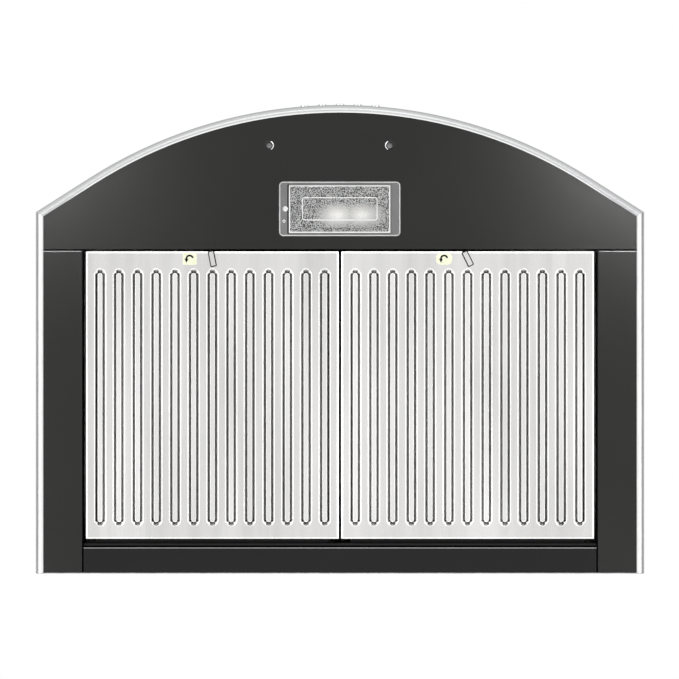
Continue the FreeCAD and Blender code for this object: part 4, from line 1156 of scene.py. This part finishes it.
    def turn_rim(self, piece: Piece, rim: list[BMEdge], turns: Iterable[tuple[float, float]]) -> None:
        """Carry a rim on through some turns.

        Args:
            piece: The piece that the rim belongs to.
            rim: The rim's open edges.
            turns: How far inside the filter's edge each turn lies, and its height.
        """
        for inset, level in turns:
            turned = bmesh.ops.extrude_edge_only(piece.mesh, edges=rim)["geom"]
            fresh = points_of(turned)
            rim = [edge for edge in turned if isinstance(edge, BMEdge)
                   and all(point in fresh for point in edge.verts)]
            for point in fresh:
                point.co.x = self.x + math.copysign(self.width / 2 - inset, point.co.x - self.x)
                point.co.y = self.y + math.copysign(self.length / 2 - inset, point.co.y - self.y)
                point.co.z = level

    def face(self) -> None:
        """The face sheet: rolled slots, a flat web between them and a turned rim."""
        piece = Piece(f"{self.body}_slotted_face", self.body, Slot.FILTER_STEEL)
        half = self.slot_width / 2
        roll = (half + self.roll, self.bottom, half + self.roll, self.bottom + self.roll)
        reach = self.slot_length / 2 - half
        first = self.oblong(piece, roll, math.pi / 2, self.high.z, reach, pucker=True)
        self.repeat(piece, first)
        holes = self.open_edges(piece, self.bottom)
        rim = self.outline(piece, self.hem_slope + self.hem_edge, self.bottom)
        bmesh.ops.triangle_fill(piece.mesh, edges=holes + rim, use_beauty=True, normal=(0, 0, -1))
        self.turn_rim(piece, rim, ((self.hem_edge, self.low.z), (0.0, self.low.z + self.hem_return)))
        piece.clean()
        piece.look_down()
        piece.make(FILTER_STEEL, replaces=[f"{self.body}_face"], wall=self.face_wall, crease=self.face_crease)

    def baffles(self) -> None:
        """The sheet behind the slots: a strip with a round-edged bead over each slot, and air gaps."""
        piece = Piece(f"{self.body}_beaded_sheet", self.body, Slot.FILTER_STEEL)
        half = self.bead_width / 2
        flat = half - self.bead_round
        roll = (flat, self.bead_low, flat, self.bead_low + self.bead_round)
        reach = self.slot_length / 2 - self.bead_short - half
        first = self.oblong(piece, roll, -math.pi / 2, self.baffle_low, reach, self.bead_flare)
        self.repeat(piece, first)
        bmesh.ops.edgeloop_fill(piece.mesh, edges=self.open_edges(piece, self.bead_low))
        edges = self.open_edges(piece, self.baffle_low)
        edges += self.outline(piece, self.baffle_inset, self.baffle_low)
        gap = self.slot_pitch - self.strip_width
        for place in self.places(self.slot_count - 1, self.baffle_low):
            edges += self.rectangle(piece, place, gap, self.slot_length - 2 * self.gap_short)
        bmesh.ops.triangle_fill(piece.mesh, edges=edges, use_beauty=True, normal=(0, 0, -1))
        piece.clean()
        piece.look_down()
        piece.make(BAFFLE_STEEL, replaces=[f"{self.body}_baffles"], wall=self.sheet)

    def frame(self) -> None:
        """The filter's rim: four walls with an inward return at the top."""
        piece = Piece(f"{self.body}_rim_walls", self.body, Slot.FILTER_STEEL)
        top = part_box(f"{self.body}_frame")[1][2]
        rim = self.outline(piece, 0.0, self.bottom + self.sheet)
        self.turn_rim(piece, rim, ((0.0, top), (self.frame_return, top)))
        piece.clean()
        outer = max(piece.mesh.faces, key=lambda face: face.calc_center_median().x)
        if outer.normal.x < 0:
            piece.turn_over()
        self.window(piece)
        piece.make(FILTER_STEEL, replaces=[f"{self.body}_frame"], wall=self.sheet)

    def window(self, piece: Piece) -> None:
        """Open the window in the front wall that the latch's tongue turns out through.

        Args:
            piece: The rim.
        """
        left = self.x + self.window_shift - self.window_width / 2
        right = left + self.window_width
        cuts = (((left, 0, 0), (1, 0, 0)), ((right, 0, 0), (1, 0, 0)), ((0, 0, self.window_top), (0, 0, 1)))
        for place, across in cuts:
            wall = self.front_wall(piece)
            edges = {edge for face in wall for edge in face.edges}
            points = {point for face in wall for point in face.verts}
            bmesh.ops.bisect_plane(piece.mesh, geom=[*wall, *edges, *points], plane_co=place, plane_no=across)
        inside = [face for face in self.front_wall(piece)
                  if left < face.calc_center_median().x < right
                  and face.calc_center_median().z < self.window_top]
        bmesh.ops.delete(piece.mesh, geom=inside, context="FACES")

    def front_wall(self, piece: Piece) -> list[BMFace]:
        """The faces of the rim's front wall."""
        return [face for face in piece.mesh.faces
                if abs(face.calc_center_median().y - self.low.y) < self.sheet / 2]

    def hook(self) -> None:
        """The hook along the rear edge in painted shade: a flange that ends in a rolled bead in the rail's
        trough.
        """
        piece = Piece(f"{self.body}_rear_hook", self.body, Slot.FILTER_STEEL)
        low, high = corners_of(f"{self.body}_frame")
        left = low.x + 2 * self.frame_return
        right = high.x - 2 * self.frame_return
        pivot = high.y - self.hook_radius
        piece.block((left, self.high.y, high.z - self.sheet), (right, pivot, high.z))
        piece.block((left, pivot - self.sheet / 2, low.z + self.hook_radius + 2 * self.sheet),
                    (right, pivot + self.sheet / 2, high.z))
        place = Matrix.Translation((self.x, pivot, self.hook_height)) @ Matrix.Rotation(math.pi / 2, 4, "Y")
        piece.rod(self.hook_radius, right - left, place, self.hook_steps)
        piece.make(SHADE_STEEL)

    def handle(self) -> None:
        """The latch's finger strip: a folded tab with a painted shadow along its lower edges, on a round
        shaft.
        """
        piece = Piece(f"{self.latch}_finger_tab", self.latch, Slot.FILTER_STEEL)
        half = Vector((self.handle_width / 2, self.handle_length / 2, 0.0))
        points = piece.block((-half.x, -half.y, self.handle_low), (half.x, half.y, self.handle_high))
        piece.round_edges(upright(edges_of(points)), self.handle_corner, segments=3)
        under = [face for face in piece.mesh.faces if face.normal.z < -ALONG]
        rims = [edge for face in under for edge in face.edges]
        # The lower edges' bevels take the near-black steel: a painted shadow round the tab.
        for face in piece.round_edges(rims, self.handle_edge, segments=1):
            face.material_index = SECOND_FINISH
        shaft = Matrix.Translation((0.0, 0.0, (self.handle_high + self.shaft_top) / 2))
        piece.rod(self.shaft_radius, self.shaft_top - self.handle_high, shaft, self.shaft_steps)
        piece.outward()
        pivot = self.low.y + self.latch_inset
        turn = Matrix.Translation((self.x, pivot, 0.0)) @ Matrix.Rotation(-self.handle_tilt, 4, "Z")
        bmesh.ops.transform(piece.mesh, verts=piece.mesh.verts[:], matrix=turn)
        piece.make(FILTER_STEEL, SHADE_STEEL, replaces=[f"{self.latch}_handle"])

    def sticker(self) -> None:
        """The small paper sticker beside the latch, with a curved arrow that shows the way to turn."""
        top = self.bottom - self.sticker_gap
        paper = Piece(f"{self.body}_turn_sticker", self.body, Slot.GREY_PLASTIC)
        points = paper.block((self.sticker_low, self.sticker_front, top - self.sticker_thickness),
                             (self.sticker_high, self.sticker_rear, top))
        paper.round_edges(upright(edges_of(points)), self.sticker_corner, segments=5)
        paper.make(STICKER_PAPER)
        self.arrow(top - self.sticker_thickness)

    def arrow(self, level: float) -> None:
        """The printed arrow: a bold arc with a pointed head.

        Args:
            level: The height of the sticker's lower face.
        """
        printed = Piece(f"{self.body}_turn_arrow", self.body, Slot.BLACK_PLASTIC)
        centre = Vector(((self.sticker_low + self.sticker_high) / 2,
                         (self.sticker_front + self.sticker_rear) / 2, level - self.ink))
        ends = [printed.mesh.verts.new(centre + Vector((reach, 0.0, 0.0)))
                for reach in (self.arrow_radius - self.arrow_half, self.arrow_radius + self.arrow_half)]
        printed.sweep(ends, centre, self.arrow_sweep, self.arrow_steps)
        bmesh.ops.rotate(printed.mesh, verts=printed.mesh.verts[:], cent=centre,
                         matrix=Matrix.Rotation(self.arrow_start, 3, "Z"))
        head = ((-self.arrow_head, 0.0), (self.arrow_head, 0.0), (0.0, 2 * self.arrow_head))
        tip = [centre + Vector((across - self.arrow_radius, ahead, 0.0)) for across, ahead in head]
        printed.mesh.faces.new([printed.mesh.verts.new(point) for point in tip])
        printed.clean()
        printed.each_down()
        printed.make(STICKER_INK, wall=self.ink)


class LensPart(IntEnum):
    """The finishes of the lens, as its faces' material numbers."""

    BAND = 0
    WINDOW = 1
    EDGE = 2
    GAP = 3


@dataclass(frozen=True)
class LensRing:
    """A round-cornered outline on the lens, with the finish of the sheet from it to the next one."""

    insets: tuple[float, ...]
    level: float
    corner: float
    finish: int = 0
    least_corner: float = 0.5 * MM

    def inside(self, step: float, level: float, finish: int = 0) -> "LensRing":
        """The outline a step further in, at its own height, with the finish of the sheet inside it."""
        insets = tuple(inset + step for inset in self.insets)
        return LensRing(insets, level, max(self.corner - step, self.least_corner), finish)


@dataclass
class Lamp:
    """The lamp: a moulded lens with a pebbled window, its screw, and the lit bulb behind it.

    The insets of an outline are those at its left, its right, its front and its rear.
    """

    corner: float = 5.0 * MM
    ring_points: int = 32
    face: float = 1.0 * MM
    rim: float = 1.1 * MM
    rim_rise: float = 0.6 * MM
    window: tuple[float, ...] = (9.8 * MM, 10.2 * MM, 2.4 * MM, 1.7 * MM)
    window_corner: float = 2.4 * MM
    window_face: float = 0.8 * MM
    groove: float = 0.7 * MM
    groove_side: float = 0.1 * MM
    groove_width: float = 2.2 * MM
    frame_width: float = 1.3 * MM
    ridge: tuple[float, ...] = (28.0 * MM, 28.0 * MM, 19.0 * MM, 19.0 * MM)
    ridge_corner: float = 3.2 * MM
    ridge_face: float = 0.42 * MM
    ridge_step: float = 0.42 * MM
    ridge_wall: float = 0.2 * MM
    wall: float = 1.4 * MM
    boss_x: float = -69.0 * MM
    boss_y: float = -433.6 * MM
    boss_radius: float = 1.9 * MM
    boss_height: float = 0.35 * MM
    boss_wall: float = 0.15 * MM
    boss_steps: int = 20
    low: Vector = field(init=False)
    high: Vector = field(init=False)

    def __post_init__(self) -> None:
        """Take the lens's place and size from its CAD node."""
        self.low, self.high = corners_of("lamp_lens")

    def build(self) -> None:
        """Build the lens and dress the rest of the lamp."""
        self.lens()
        self.raised_line()
        self.boss()
        dress(LENS_SCREW, "lens_screw")
        dress(ZINC, "lamp_housing")
        dress(CERAMIC, "lamp_socket")
        dress(BULB_GLASS, "lamp_bulb")

    def outline(self, points: Iterable[BMVert], ring: LensRing) -> None:
        """Move the points of a circle out to a round-cornered outline.

        Args:
            points: The points of a circle about the origin.
            ring: The outline.
        """
        left, right, front, rear = ring.insets
        low = Vector((self.low.x + left, self.low.y + front, ring.level))
        high = Vector((self.high.x - right, self.high.y - rear, ring.level))
        middle, half = (low + high) / 2, (high - low) / 2
        for point in points:
            aim = point.co.normalized()
            straight = Vector((math.copysign(half.x - ring.corner, aim.x),
                               math.copysign(half.y - ring.corner, aim.y), 0.0))
            point.co = middle + straight + aim * ring.corner

    def stepped(self, piece: Piece, rings: Sequence[LensRing]) -> list[BMEdge]:
        """Add a stepped sheet that looks down, with open ends.

        Args:
            piece: The piece that it is added to.
            rings: Its outlines, from the outside in.

        Returns:
            The edges of its innermost outline.
        """
        turned = Matrix.Rotation(math.pi / self.ring_points, 4, "Z")
        circles = [bmesh.ops.create_circle(piece.mesh, segments=self.ring_points, radius=radius,
                                           matrix=turned)["verts"] for radius in range(len(rings), 0, -1)]
        edges = [edges_of(points) for points in circles]
        for outer, inner, ring in zip(edges, edges[1:], rings):
            for face in bmesh.ops.bridge_loops(piece.mesh, edges=outer + inner)["faces"]:
                face.material_index = ring.finish
        for points, ring in zip(circles, rings):
            self.outline(points, ring)
        piece.look_down()
        return edges[-1]

    def lens(self) -> None:
        """The lens: a rim and window frame in painted highlight, plain end bands, and a raised pebbled window
        behind a groove.
        """
        piece = Piece("lamp_lens_moulding", "hood", Slot.LENS_PLASTIC)
        bottom = self.face + self.groove
        rim = LensRing((0.0,) * 4, self.face + self.rim_rise, self.corner, LensPart.EDGE)
        groove = LensRing(self.window, self.face, self.window_corner, LensPart.BAND)
        frame_ring = groove.inside(self.groove_width, bottom, LensPart.EDGE)
        rings = [rim, rim.inside(self.rim, self.face, LensPart.BAND), groove,
                 groove.inside(self.groove_side, bottom, LensPart.BAND), frame_ring,
                 frame_ring.inside(self.frame_width, self.window_face, LensPart.WINDOW)]
        inner = self.stepped(piece, rings)
        for face in bmesh.ops.edgeloop_fill(piece.mesh, edges=inner, mat_nr=LensPart.WINDOW)["faces"]:
            if face.normal.z > 0:
                face.normal_flip()
        # Faces at the bottom of the groove on its left side get near-black: painted shade in the groove.
        left = self.low.x + self.window[0] + self.groove_width
        for face in piece.mesh.faces:
            middle = face.calc_center_median()
            if middle.z > bottom - TOLERANCE and middle.x < left:
                face.material_index = LensPart.GAP
        piece.make(LENS_BAND, LENS_PLASTIC, LENS_EDGE_HIGHLIGHT, LENS_GROOVE_SHADE, replaces=["lamp_lens"], wall=self.wall)

    def raised_line(self) -> None:
        """The raised line round the middle of the window, in painted highlight."""
        piece = Piece("lamp_lens_ridge", "hood", Slot.LENS_PLASTIC)
        outer = LensRing(self.ridge, self.window_face, self.ridge_corner)
        levels = (self.ridge_face, self.ridge_face, self.window_face)
        rings = [outer.inside(index * self.ridge_step, level) for index, level in enumerate(levels, 1)]
        self.stepped(piece, [outer, *rings])
        piece.make(LENS_EDGE_HIGHLIGHT, wall=self.ridge_wall)

    def boss(self) -> None:
        """The small ring beside the lens screw, in painted highlight."""
        piece = Piece("lamp_lens_boss", "hood", Slot.LENS_PLASTIC)
        shares = ((1.0, 0.0), (0.85, 1.0), (0.65, 1.0), (0.5, 0.0))
        profile = [(self.boss_x + reach * self.boss_radius, self.boss_y, self.face - drop * self.boss_height)
                   for reach, drop in shares]
        piece.turn(profile, (self.boss_x, self.boss_y, 0.0), self.boss_steps)
        piece.make(LENS_EDGE_HIGHLIGHT, wall=self.boss_wall)


@dataclass
class Shell:
    """The stainless canopy and chimney cover."""

    side_bands: tuple[str, ...] = ("left_band", "right_band")
    side_slopes: tuple[str, ...] = ("canopy_left", "canopy_right")
    sleeves: tuple[str, ...] = ("lower_chimney", "upper_chimney")
    hidden: tuple[str, ...] = ("back_panel", "top_plate", "chimney_bracket")

    def build(self) -> None:
        """Dress the sheets, each with its grain along its length."""
        dress(FRONT_BAND, "front_band")
        dress(STAINLESS, "canopy_front")
        # The side bands take the lighter copy: painted light on their lips.
        dress(STAINLESS_BAND_LIT, *self.side_bands)
        dress(STAINLESS_SIDE, *self.side_slopes)
        dress(STAINLESS_UPRIGHT, *self.sleeves)
        dress(ZINC, *self.hidden)
        dress(BRIGHT_SCREW, "chimney_screws")


@dataclass
class Underside:
    """The black underside: the curved front panel, three folded rails and two screws."""

    sheet: float = 1.0 * MM
    bend: float = 0.9 * MM
    bend_steps: int = 4
    front_turn: float = 5.0 * MM
    front_gap: float = 2.0 * MM
    inner_gap: float = 1.6 * MM
    relief: float = 1.2 * MM
    rail_depth: float = 32.0 * MM
    hinge_height: float = 9.0 * MM
    trough_radius: float = 2.8 * MM
    trough_centre: float = -34.8 * MM
    trough_steps: int = 12
    screw_xs: tuple[float, float] = (-87.2 * MM, 61.3 * MM)
    screw_y: float = -526.84 * MM
    dish_radius: float = 6.5 * MM
    dish_seat: float = 3.8 * MM
    dish_depth: float = 1.6 * MM
    # The painted highlights on the screws' dishes: where the arcs lie across the slope, how far they reach
    # round, their steps, lift and wall.
    scuff_shares: tuple[float, float] = (0.25, 0.7)
    scuff_turn: float = math.radians(130)
    scuff_steps: int = 14
    scuff_gap: float = 0.04 * MM
    scuff_wall: float = 0.03 * MM

    def build(self) -> None:
        """Build the rails and the painted highlights on the screws' dishes, and dress the panel and its
        screws.
        """
        for side in Side:
            self.side_rail(side)
        self.rear_rail()
        dress(PANEL_COAT, "front_panel")
        dress(PANEL_SCREW, "panel_screws")
        for side, x, towards in zip(Side, self.screw_xs, (0.0, math.pi)):
            self.scuff(side, x, towards)

    def plate(self, piece: Piece, corners: Iterable[tuple[float, float]], level: float) -> list[BMVert]:
        """Add one flat face.

        Args:
            piece: The piece that it is added to.
            corners: The X and Y of its corners.
            level: Its height.

        Returns:
            Its points.
        """
        points = [piece.mesh.verts.new((x, y, level)) for x, y in corners]
        piece.mesh.faces.new(points)
        return points

    def fold(self, piece: Piece, edge: BMEdge, height: float) -> None:
        """Turn a sheet up along an edge, as far as a height."""
        turned = bmesh.ops.extrude_edge_only(piece.mesh, edges=[edge])["geom"]
        bmesh.ops.translate(piece.mesh, verts=points_of(turned), vec=(0.0, 0.0, height))

    def side_rail(self, side: Side) -> None:
        """A side rail: a strip with a fold beside the filter, a short turn at its front and a notched corner.

        Args:
            side: The side that it stands on.
        """
        node = f"{side.word}_rail"
        low, high = corners_of(node)
        outer, inner = (low.x, high.x) if side is Side.LEFT else (high.x, low.x)
        inner += side.value * self.inner_gap
        notch = inner + side.value * self.relief
        front = low.y + self.front_gap
        notch_rear = front + self.relief
        corners = ((outer, front), (notch, front), (notch, notch_rear), (inner, notch_rear),
                   (inner, high.y), (outer, high.y))
        piece = Piece(f"{node}_folded", "hood", Slot.BLACK_COAT)
        points = self.plate(piece, corners, low.z)
        bends = [piece.mesh.edges.get(points[0:2]), piece.mesh.edges.get(points[3:5])]
        for bend, height in zip(bends, (self.front_turn, high.z - low.z)):
            self.fold(piece, bend, height)
        self.finish(piece, bends, node, PANEL_COAT, notch_rear)

    def rear_rail(self) -> None:
        """The rear rail: a strip with a fold at its front edge, and the trough for the filters' hooks."""
        low, high = corners_of("rear_rail")
        front = high.y - self.rail_depth + self.sheet
        corners = ((low.x, front), (high.x, front), (high.x, high.y), (low.x, high.y))
        piece = Piece("rear_rail_folded", "hood", Slot.BLACK_COAT)
        points = self.plate(piece, corners, low.z)
        bend = piece.mesh.edges.get(points[0:2])
        self.fold(piece, bend, self.hinge_height - low.z)
        self.finish(piece, [bend], "rear_rail", BLACK_COAT, high.y)
        self.trough(low.x, high.x)

    def trough(self, left: float, right: float) -> None:
        """The half-round trough along the rear rail that the filters' hooks lie in.

        Args:
            left: The X of its left end.
            right: The X of its right end.
        """
        piece = Piece("rear_rail_trough", "hood", Slot.BLACK_COAT)
        start = piece.mesh.verts.new((left, self.trough_centre + self.trough_radius, self.hinge_height))
        bmesh.ops.spin(piece.mesh, geom=[start], cent=(left, self.trough_centre, self.hinge_height),
                       axis=(1, 0, 0), angle=-math.pi, steps=self.trough_steps, use_duplicate=False)
        run = bmesh.ops.extrude_edge_only(piece.mesh, edges=piece.mesh.edges[:])["geom"]
        bmesh.ops.translate(piece.mesh, vec=(right - left, 0.0, 0.0), verts=points_of(run))
        piece.outward()
        piece.make(BLACK_COAT, wall=self.sheet)

    def scuff(self, side: Side, x: float, towards: float) -> None:
        """The painted highlight on a screw's dish: a bright steel arc on its slope.

        Args:
            side: The side that the screw is on.
            x: The X of the screw.
            towards: The direction of the arc's middle, as an angle from +X.
        """
        piece = Piece(f"panel_scuff_{side.word}", "hood", Slot.SCREW_STEEL)
        centre = Vector((x, self.screw_y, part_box("front_panel")[0][2]))
        narrowing = self.dish_seat - self.dish_radius
        points = [piece.mesh.verts.new(centre + Vector((self.dish_radius + share * narrowing, 0.0,
                                                        share * self.dish_depth - self.scuff_gap)))
                  for share in self.scuff_shares]
        bmesh.ops.rotate(piece.mesh, verts=points, cent=centre,
                         matrix=Matrix.Rotation(towards - self.scuff_turn / 2, 3, "Z"))
        piece.sweep(points, centre, self.scuff_turn, self.scuff_steps)
        piece.outward()
        piece.each_down()
        piece.make(DISH_HIGHLIGHT_STEEL, wall=self.scuff_wall)

    def finish(self, piece: Piece, bends: list[BMEdge], node: str, coat: PowderCoat, highlight_limit: float) -> None:
        """Round a rail's bends, give the front ones a painted highlight, and give it its wall.

        Args:
            piece: The rail.
            bends: Its folded edges.
            node: The CAD node that it stands for.
            coat: Its paint.
            highlight_limit: The Y in front of which its bends get the painted highlight.
        """
        # Bends in front of the given Y get the light grey coat: a painted highlight along them.
        for face in piece.round_edges(bends, self.bend, self.bend_steps):
            if face.calc_center_median().y < highlight_limit:
                face.material_index = SECOND_FINISH
        piece.look_down()
        piece.make(coat, EDGE_HIGHLIGHT_COAT, replaces=[node], wall=self.sheet)


@dataclass
class Controls:
    """The push buttons and the switch block behind them."""

    names: tuple[str, ...] = ("off", "low", "medium", "high", "lamp")

    def build(self) -> None:
        """Dress the buttons and their block."""
        dress(BUTTON_METAL, *(f"button_{name}" for name in self.names))
        dress(BLACK_PLASTIC, "switch_block")


@dataclass
class Blower:
    """The blower: scroll housing, rotor, motor and capacitor."""

    housing: tuple[str, ...] = ("blower_scroll", "blower_left_plate", "blower_right_plate")
    rotor: tuple[str, ...] = ("impeller_hub", "impeller_left_ring", "impeller_right_ring",
                              "impeller_left_blades", "impeller_right_blades")

    def build(self) -> None:
        """Dress the blower's nodes."""
        dress(BLACK_COAT, *self.housing)
        dress(ZINC, "motor_bracket", *self.rotor)
        dress(MOTOR_ENAMEL, "motor")
        dress(BRIGHT_SCREW, "motor_shaft")
        dress(GREY_PLASTIC, "capacitor")


@dataclass
class Outlet:
    """The duct collar with its damper, and the terminal box beside it."""

    sheets: tuple[str, ...] = ("outlet_collar", "damper_front_flap", "damper_rear_flap")

    def build(self) -> None:
        """Dress the outlet's nodes."""
        dress(ZINC, *self.sheets)
        dress(GREY_PLASTIC, "terminal_box")
        dress(BLACK_PLASTIC, "cable_gland")
        dress(BRIGHT_SCREW, "damper_pin")


# Stage, light and camera


@dataclass
class Studio:
    """A pale floor, a soft white surround, soft lamps and a camera that looks straight up.

    Four soft strips stand in a ring below the hood, and two large lamps above it. Two small lamps light only
    the front corners of the black sheets. A dark card at each side gives the steel something to reflect.
    """

    camera_place: Place = (-0.0006, -0.288, -3.0)
    camera_sensor: float = 36.0
    camera_lens: float = 129.33
    middle: Place = (0.0, -0.29, 0.2)
    floor_level: float = -3.3
    floor_size: float = 30.0
    floor_colour: Colour = (0.8, 0.8, 0.8)
    surround: float = 0.85
    zenith: float = 0.45
    card_distance: float = 1.5
    card_y: float = -0.3
    card_length: float = 2.4
    card_bottom: float = -0.75
    card_dark: float = 0.35
    card_top: float = 0.45
    card_colour: Colour = (0.12, 0.12, 0.12)
    ring_reach: float = 1.25
    ring_level: float = -1.15
    ring_size: tuple[float, float] = (1.8, 0.5)
    ring_power: float = 7.0
    front_share: float = 0.4
    corner_place: Place = (0.47, -0.6, -0.42)
    corner_target: Place = (0.38, -0.51, 0.0)
    corner_size: tuple[float, float] = (0.16, 0.16)
    corner_spread: float = math.radians(52)
    corner_powers: tuple[float, float] = (0.18, 0.33)
    corner_lit: tuple[str, ...] = ("front_panel", "left_rail_folded", "right_rail_folded", "rear_rail_folded")
    upper_front: Place = (0.0, -2.6, 1.9)
    upper_rear: Place = (0.9, 2.3, 2.4)
    upper_size: tuple[float, float] = (3.2, 3.2)
    upper_power: float = 28.0

    def build(self) -> None:
        """Set the stage, the light and the camera."""
        bpy.context.scene.view_settings.view_transform = "Standard"
        self.camera()
        self.floor()
        self.world()
        for side in Side:
            self.card(side)
        self.ring()
        self.corners()
        for name, place in (("front_lamp", self.upper_front), ("rear_lamp", self.upper_rear)):
            self.lamp(name, place, self.upper_size, self.upper_power, self.middle).visible_glossy = False

    def camera(self) -> None:
        """The camera below the hood, with the wall edge at the bottom of the picture."""
        data = bpy.data.cameras.new("camera")
        data.sensor_width = self.camera_sensor
        data.lens = self.camera_lens
        camera = bpy.data.objects.new("camera", data)
        camera.location = self.camera_place
        camera.rotation_euler = (math.pi, 0.0, 0.0)
        bpy.context.scene.collection.objects.link(camera)
        bpy.context.scene.camera = camera

    def sheet(self, name: str, place: Matrix, finish: Finish) -> bpy.types.Object:
        """A flat stage sheet.

        Args:
            name: Its name.
            place: Where it stands, for a square two units wide.
            finish: Its finish.

        Returns:
            The sheet.
        """
        mesh = bmesh.new()
        bmesh.ops.create_grid(mesh, x_segments=1, y_segments=1, size=1.0, matrix=place)
        sheet = as_object(name, mesh, [finish])
        return sheet

    def floor(self) -> None:
        """The pale floor below the camera."""
        size = Matrix.Diagonal((self.floor_size / 2, self.floor_size / 2, 1.0, 1.0))
        place = Matrix.Translation((0.0, 0.0, self.floor_level))
        self.sheet("floor", place @ size, StageFloor("floor_paint", self.floor_colour))

    def card(self, side: Side) -> None:
        """A dark card beside the hood that only reflections show.

        Args:
            side: The side that it stands on.
        """
        half = (self.card_top - self.card_bottom) / 2
        size = Matrix.Rotation(math.pi / 2, 4, "Y") @ Matrix.Diagonal((half, self.card_length / 2, 1.0, 1.0))
        place = Matrix.Translation((side.value * self.card_distance, self.card_y, self.card_bottom + half))
        paint = StageCard("card_paint", self.card_colour, self.card_bottom, self.card_dark)
        card = self.sheet(f"card_{side.word}", place @ size, paint)
        card.visible_camera = False
        card.visible_diffuse = False
        card.visible_shadow = False

    def lamp(self, name: str, place: Place, size: tuple[float, float], power: float, target: Place,
             spread: float = math.pi) -> bpy.types.Object:
        """A soft oblong lamp.

        Args:
            name: Its name.
            place: Where it stands.
            size: Its width and length.
            power: Its power in watts.
            target: The point that it faces.
            spread: The angle that its light fans out over.

        Returns:
            The lamp.
        """
        data = bpy.data.lights.new(name, "AREA")
        data.shape = "RECTANGLE"
        data.size, data.size_y = size
        data.energy = power
        data.spread = spread
        lamp = bpy.data.objects.new(name, data)
        lamp.location = place
        aim = Vector(target) - Vector(place)
        lamp.rotation_euler = aim.to_track_quat("-Z", "Y").to_euler()
        bpy.context.scene.collection.objects.link(lamp)
        return lamp

    def ring(self) -> None:
        """The four strips round the space below the hood; the front one is dimmer."""
        strips = (("side_strip_left", -1, 0, 1.0), ("side_strip_right", 1, 0, 1.0),
                  ("end_strip_front", 0, -1, self.front_share), ("end_strip_rear", 0, 1, 1.0))
        for name, right, back, share in strips:
            place = (self.middle[0] + right * self.ring_reach, self.middle[1] + back * self.ring_reach,
                     self.ring_level)
            self.lamp(name, place, self.ring_size, share * self.ring_power, self.middle)

    def corners(self) -> None:
        """The two small lamps that light only the black sheets, at their front corners."""
        lit = bpy.data.collections.new("corner_lit")
        for piece in self.corner_lit:
            lit.objects.link(bpy.data.objects[piece])
        for side, power in zip(Side, self.corner_powers):
            place, target = ((side.value * x, y, z) for x, y, z in (self.corner_place, self.corner_target))
            lamp = self.lamp(f"corner_lamp_{side.word}", place, self.corner_size, power, target,
                             self.corner_spread)
            lamp.light_linking.receiver_collection = lit

    def world(self) -> None:
        """A soft surround, white to the camera and through glass, and darker overhead in gloss."""
        world = bpy.data.worlds.new("studio")
        bpy.context.scene.world = world
        world.use_nodes = True
        nodes, links = world.node_tree.nodes, world.node_tree.links
        soft = nodes["Background"]
        soft.inputs["Strength"].default_value = self.surround
        white, sky = (nodes.new("ShaderNodeBackground") for _ in range(2))
        for light in (soft, white, sky):
            light.inputs["Color"].default_value = (*WHITE, 1.0)
        height = nodes.new("ShaderNodeSeparateXYZ")
        links.new(nodes.new("ShaderNodeTexCoord").outputs["Generated"], height.inputs[0])
        fade = nodes.new("ShaderNodeMapRange")
        fade.inputs["To Min"].default_value = 1.0
        fade.inputs["To Max"].default_value = self.zenith
        links.new(height.outputs["Z"], fade.inputs["Value"])
        links.new(fade.outputs["Result"], sky.inputs["Strength"])
        path = nodes.new("ShaderNodeLightPath")
        shown = soft
        for ray, light in (("Is Camera Ray", white), ("Is Transmission Ray", white), ("Is Glossy Ray", sky)):
            mix = nodes.new("ShaderNodeMixShader")
            for source, socket in zip((path.outputs[ray], shown.outputs[0], light.outputs[0]), mix.inputs):
                links.new(source, socket)
            shown = mix
        links.new(shown.outputs[0], nodes["World Output"].inputs["Surface"])


def main() -> None:
    """Build every sub-assembly and the studio."""
    logging.basicConfig(level=logging.INFO, format="%(name)s: %(message)s")
    Shell().build()
    Underside().build()
    BaffleFilter(Side.LEFT, handle_tilt=math.radians(11), sticker_low=-193.7 * MM, sticker_high=-176.4 * MM,
                 sticker_corner=1.5 * MM).build()
    BaffleFilter(Side.RIGHT, handle_tilt=math.radians(26), sticker_low=118.4 * MM, sticker_high=138.2 * MM,
                 sticker_corner=6.0 * MM).build()
    Lamp().build()
    Controls().build()
    Blower().build()
    Outlet().build()
    Studio().build()


if __name__ == "__main__":
    main()
